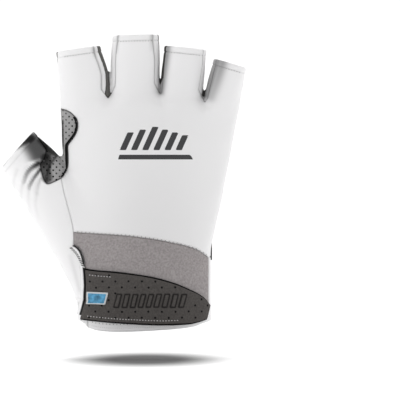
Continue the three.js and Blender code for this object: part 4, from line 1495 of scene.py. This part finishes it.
TAB_WIDTH = 12
TAB_THICKNESS = 1.2
TAB_SEWN = 12
TAB_FREE = 9
TAB_CURL = 3.2
TAB_CURL_START = 2.7
TAB_TAPER = 0.2
TAB_ROUND_FROM = 0.86
TAB_ROUND_LENGTH = 0.16
TAB_GAP = 0.45
TAB_FINGERS = {"pull_tab_middle": FINGERS[1], "pull_tab_ring": FINGERS[2]}


def tab_point(finger, u, v):
    """A point of a pull tab's near face, at two shares."""
    _, (mouth_x, mouth_z), turn = finger_ends(finger)
    half_mouth = finger[5] * FINGER_WIDTH / 2
    reach = v * (TAB_SEWN + TAB_FREE) - TAB_SEWN
    turned = np.maximum(reach + TAB_CURL_START, 0) / TAB_CURL
    out = np.minimum(reach, -TAB_CURL_START) + TAB_CURL * np.sin(turned)
    bend = np.maximum((v - TAB_ROUND_FROM) / TAB_ROUND_LENGTH, 0)
    round_end = np.sqrt(np.maximum(1 - bend ** 2, 0.05))
    side = (2 * u - 1) * TAB_WIDTH / 2 * (1 - TAB_TAPER * v) * round_end
    drop = 1 - (1 - np.abs(side / half_mouth) ** FINGER_POWER) ** (1 / FINGER_POWER)
    follow = 1 - smoothstep(reach, -TAB_CURL_START, TAB_FREE)
    x = mouth_x + math.cos(turn) * side - math.sin(turn) * out
    y = FINGER_DEPTH / 2 * (1 - drop * follow) + TAB_GAP + TAB_CURL * (1 - np.cos(turned))
    z = mouth_z + math.sin(turn) * side + math.cos(turn) * out
    return np.stack([x, y, z], -1)


def tab_skin(finger):
    """A pull tab's near face as a skin."""
    wide, high = 25, 49
    u, v = np.meshgrid(np.linspace(0, 1, wide), np.linspace(0, 1, high), indexing="ij")
    points = tab_point(finger, u, v).reshape(-1, 3)
    cell = np.arange(wide * high).reshape(wide, high)
    a, b, c, d = (m.reshape(-1) for m in (cell[:-1, :-1], cell[1:, :-1], cell[1:, 1:], cell[:-1, 1:]))
    faces = np.concatenate([np.stack([a, c, b], 1), np.stack([a, d, c], 1)])
    reach = np.minimum(np.minimum(u, 1 - u) * TAB_WIDTH, np.minimum(v, 1 - v) * (TAB_SEWN + TAB_FREE))
    skin = Skin(points, vertex_normals(points, faces), faces, reach.reshape(-1))
    if skin.normals[:, 1].mean() < 0:
        skin = Skin(points, -skin.normals, faces[:, ::-1], skin.edge)
    return skin


def build_tabs():
    """Makes the two pull tabs on the palm side."""
    for name, finger in TAB_FINGERS.items():
        solid = slab(tab_skin(finger), 0, TAB_THICKNESS, 0.4)
        add_piece("cover_" + name, solid, "palm_leather", "palm_leather", name)


# The clip's pieces: node, slot and how far its edges are rounded
CLIP_PIECES = (
    ("clip_webbing", "black_fabric", 0.25),
    ("clip_slider", "black_plastic", 0.35),
    ("clip_hook", "black_plastic", 0.5),
)
CLIP_FLAT = 3
CLIP_SHARP = 35


def build_clip():
    """Makes the webbing, the slider and the hook, with rounded edges, over their CAD solids."""
    for name, slot, width in CLIP_PIECES:
        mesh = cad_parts[name].data.copy()
        mesh.name = "cover_" + name
        shape = bmesh.new()
        shape.from_mesh(mesh)
        bmesh.ops.remove_doubles(shape, verts=shape.verts, dist=1e-6)
        bmesh.ops.dissolve_limit(shape, angle_limit=math.radians(CLIP_FLAT), verts=shape.verts,
                                 edges=shape.edges)
        sharp = [edge for edge in shape.edges
                 if len(edge.link_faces) == 2 and edge.calc_face_angle() > math.radians(CLIP_SHARP)]
        bmesh.ops.bevel(shape, geom=sharp, offset=width * MM, segments=3, affect="EDGES", profile=0.5,
                        clamp_overlap=True)
        shape.to_mesh(mesh)
        shape.free()
        add_object(mesh, np.ones(len(mesh.vertices)), CLIP_SHARP + 5, slot, slot, name)


# The stage, in metres

FLOOR = -0.0154
FLOOR_HALF = 4
FLOOR_GLOW = 0.15
# Half sizes and darkest level of the shadow painted on the floor under the wrist
SHADOW_HALF = (0.053, 0.145)
SHADOW_TONE = 0.17
BACKGROUND = 1.08
FRONT_LIGHT = 0.35
CAMERA_PLACE = (0.0297, -2.4, 0.0707)
CAMERA_LENS = 400
AIM = (0, 0, 0.08)

# Lamps: name, place, size and power
LAMPS = (("key", (-0.6, -0.6, 0.65), 0.3, 1.2), ("overhead", (0, 0.1, 1.2), 1, 2))


def soft_step(tree, value, low, high, at_low, at_high):
    """A node that goes smoothly from one value to another."""
    return add_node(tree, "MapRange", {
        "Value": value, "From Min": low, "From Max": high, "To Min": at_low, "To Max": at_high,
    }, interpolation_type="SMOOTHSTEP").outputs["Result"]


def studio_world():
    """A white room that is brighter behind the glove than in front of it."""
    world = bpy.data.worlds.new("studio")
    world.use_nodes = True
    tree = world.node_tree
    where = add_node(tree, "TexCoord")
    parts = add_node(tree, "SeparateXYZ", {0: where.outputs["Generated"]})
    level = soft_step(tree, parts.outputs["Y"], -0.9, 0, FRONT_LIGHT, BACKGROUND)
    fill_inputs(tree, tree.nodes["Background"], {"Strength": level, "Color": (1, 1, 1, 1)})
    return world


def floor_material():
    """A white floor with a painted shadow: a soft darker oval right under the wrist."""
    material = bpy.data.materials.new("floor")
    material.use_nodes = True
    tree = material.node_tree
    where = add_node(tree, "TexCoord")
    scale = (1 / SHADOW_HALF[0], 1 / SHADOW_HALF[1], 0)
    scaled = add_node(tree, "VectorMath", {0: where.outputs["Object"], 1: scale}, operation="MULTIPLY")
    reach = add_node(tree, "VectorMath", {0: scaled.outputs[0]}, operation="LENGTH")
    level = soft_step(tree, reach.outputs["Value"], 0.3, 1, SHADOW_TONE, 1)
    fill_inputs(tree, tree.nodes["Principled BSDF"], {
        "Base Color": level, "Emission Color": level, "Emission Strength": FLOOR_GLOW, "Roughness": 1,
        "Specular IOR Level": 0,
    })
    return material


def add_to_stage(name, data, place_at=(0, 0, 0)):
    """An object that belongs to the stage."""
    obj = bpy.data.objects.new(name, data)
    obj.location = place_at
    bpy.context.scene.collection.objects.link(obj)
    return obj


def build_stage():
    """Makes the floor, the camera and the lights."""
    scene = bpy.context.scene
    scene.view_settings.view_transform = "Standard"
    scene.world = studio_world()
    mesh = bpy.data.meshes.new("floor")
    corners = [(x * FLOOR_HALF, y * FLOOR_HALF, FLOOR) for x, y in ((-1, -1), (1, -1), (1, 1), (-1, 1))]
    mesh.from_pydata(corners, [], [(0, 1, 2, 3)])
    mesh.materials.append(floor_material())
    add_to_stage("floor", mesh)
    camera = bpy.data.cameras.new("camera")
    camera.lens = CAMERA_LENS
    scene.camera = add_to_stage("camera", camera, CAMERA_PLACE)
    scene.camera.rotation_euler = (math.pi / 2, 0, 0)
    for name, place_at, size, energy in LAMPS:
        light = bpy.data.lights.new(name, "AREA")
        light.energy = energy
        light.size = size
        lamp = add_to_stage(name, light, place_at)
        lamp.rotation_euler = (Vector(AIM) - lamp.location).to_track_quat("-Z", "Y").to_euler()


# Operators, panel and registration

class GLOVE_OT_shell(bpy.types.Operator):
    """Build the panels of the glove's shell from the current sizes"""

    bl_idname = "glove.shell"
    bl_label = "Shell"

    def execute(self, context):
        STORE.clear()
        build_panels()
        return {"FINISHED"}


class GLOVE_OT_edging(bpy.types.Operator):
    """Build the black edge along the patch"""

    bl_idname = "glove.edging"
    bl_label = "Patch edging"

    def execute(self, context):
        build_edging()
        return {"FINISHED"}


class GLOVE_OT_binding(bpy.types.Operator):
    """Build the binding along the wrist slit"""

    bl_idname = "glove.binding"
    bl_label = "Slit binding"

    def execute(self, context):
        build_binding()
        return {"FINISHED"}


class GLOVE_OT_strap(bpy.types.Operator):
    """Build the strap's backing and its ribbed face"""

    bl_idname = "glove.strap"
    bl_label = "Strap"

    def execute(self, context):
        build_strap()
        return {"FINISHED"}


class GLOVE_OT_label(bpy.types.Operator):
    """Build the sewn label"""

    bl_idname = "glove.label"
    bl_label = "Label"

    def execute(self, context):
        build_label()
        return {"FINISHED"}


class GLOVE_OT_tabs(bpy.types.Operator):
    """Build the two pull tabs"""

    bl_idname = "glove.tabs"
    bl_label = "Pull tabs"

    def execute(self, context):
        build_tabs()
        return {"FINISHED"}


class GLOVE_OT_clip(bpy.types.Operator):
    """Build the webbing, the slider and the hook"""

    bl_idname = "glove.clip"
    bl_label = "Clip"

    def execute(self, context):
        build_clip()
        return {"FINISHED"}


class GLOVE_OT_stitches(bpy.types.Operator):
    """Build the stitches along the seams, the hems and the strap"""

    bl_idname = "glove.stitches"
    bl_label = "Stitches"

    def execute(self, context):
        build_threads()
        return {"FINISHED"}


class GLOVE_OT_holes(bpy.types.Operator):
    """Build the perforations of the strap, the palm and the patch"""

    bl_idname = "glove.holes"
    bl_label = "Perforations"

    def execute(self, context):
        build_strap_holes()
        build_lattice_holes()
        return {"FINISHED"}


class GLOVE_OT_print(bpy.types.Operator):
    """Build the plain printed bars on the back of the hand"""

    bl_idname = "glove.print"
    bl_label = "Print"

    def execute(self, context):
        build_print()
        return {"FINISHED"}


class GLOVE_OT_stage(bpy.types.Operator):
    """Build the floor, the camera and the lights"""

    bl_idname = "glove.stage"
    bl_label = "Stage"

    def execute(self, context):
        build_stage()
        return {"FINISHED"}


class GLOVE_PT_build(bpy.types.Panel):
    """The glove's steps, sizes and colours"""

    bl_idname = "GLOVE_PT_build"
    bl_label = "Fishing glove"
    bl_space_type = "VIEW_3D"
    bl_region_type = "UI"
    bl_category = "Glove"

    def draw(self, context):
        steps = self.layout.column(align=True)
        for operator in OPERATORS:
            steps.operator(operator.bl_idname)
        for group in (context.scene.glove_sizes, context.scene.glove_colors):
            column = self.layout.column(align=True)
            for name in group.__annotations__:
                column.prop(group, name)


OPERATORS = (
    GLOVE_OT_shell, GLOVE_OT_edging, GLOVE_OT_binding, GLOVE_OT_strap, GLOVE_OT_label, GLOVE_OT_tabs,
    GLOVE_OT_clip, GLOVE_OT_stitches, GLOVE_OT_holes, GLOVE_OT_print, GLOVE_OT_stage,
)
CLASSES = (GLOVE_PG_sizes, GLOVE_PG_colors, *OPERATORS, GLOVE_PT_build)


def register():
    """Registers the classes and the scene's properties."""
    for item in CLASSES:
        bpy.utils.register_class(item)
    bpy.types.Scene.glove_sizes = bpy.props.PointerProperty(type=GLOVE_PG_sizes)
    bpy.types.Scene.glove_colors = bpy.props.PointerProperty(type=GLOVE_PG_colors)


def unregister():
    """Takes the properties and the classes away again."""
    del bpy.types.Scene.glove_colors
    del bpy.types.Scene.glove_sizes
    for item in reversed(CLASSES):
        bpy.utils.unregister_class(item)


def main():
    """Runs every step in order."""
    register()
    bpy.ops.glove.shell()
    bpy.ops.glove.edging()
    bpy.ops.glove.binding()
    bpy.ops.glove.strap()
    bpy.ops.glove.label()
    bpy.ops.glove.tabs()
    bpy.ops.glove.clip()
    bpy.ops.glove.stitches()
    bpy.ops.glove.holes()
    bpy.ops.glove.print()
    bpy.ops.glove.stage()


if __name__ == "__main__":
    main()
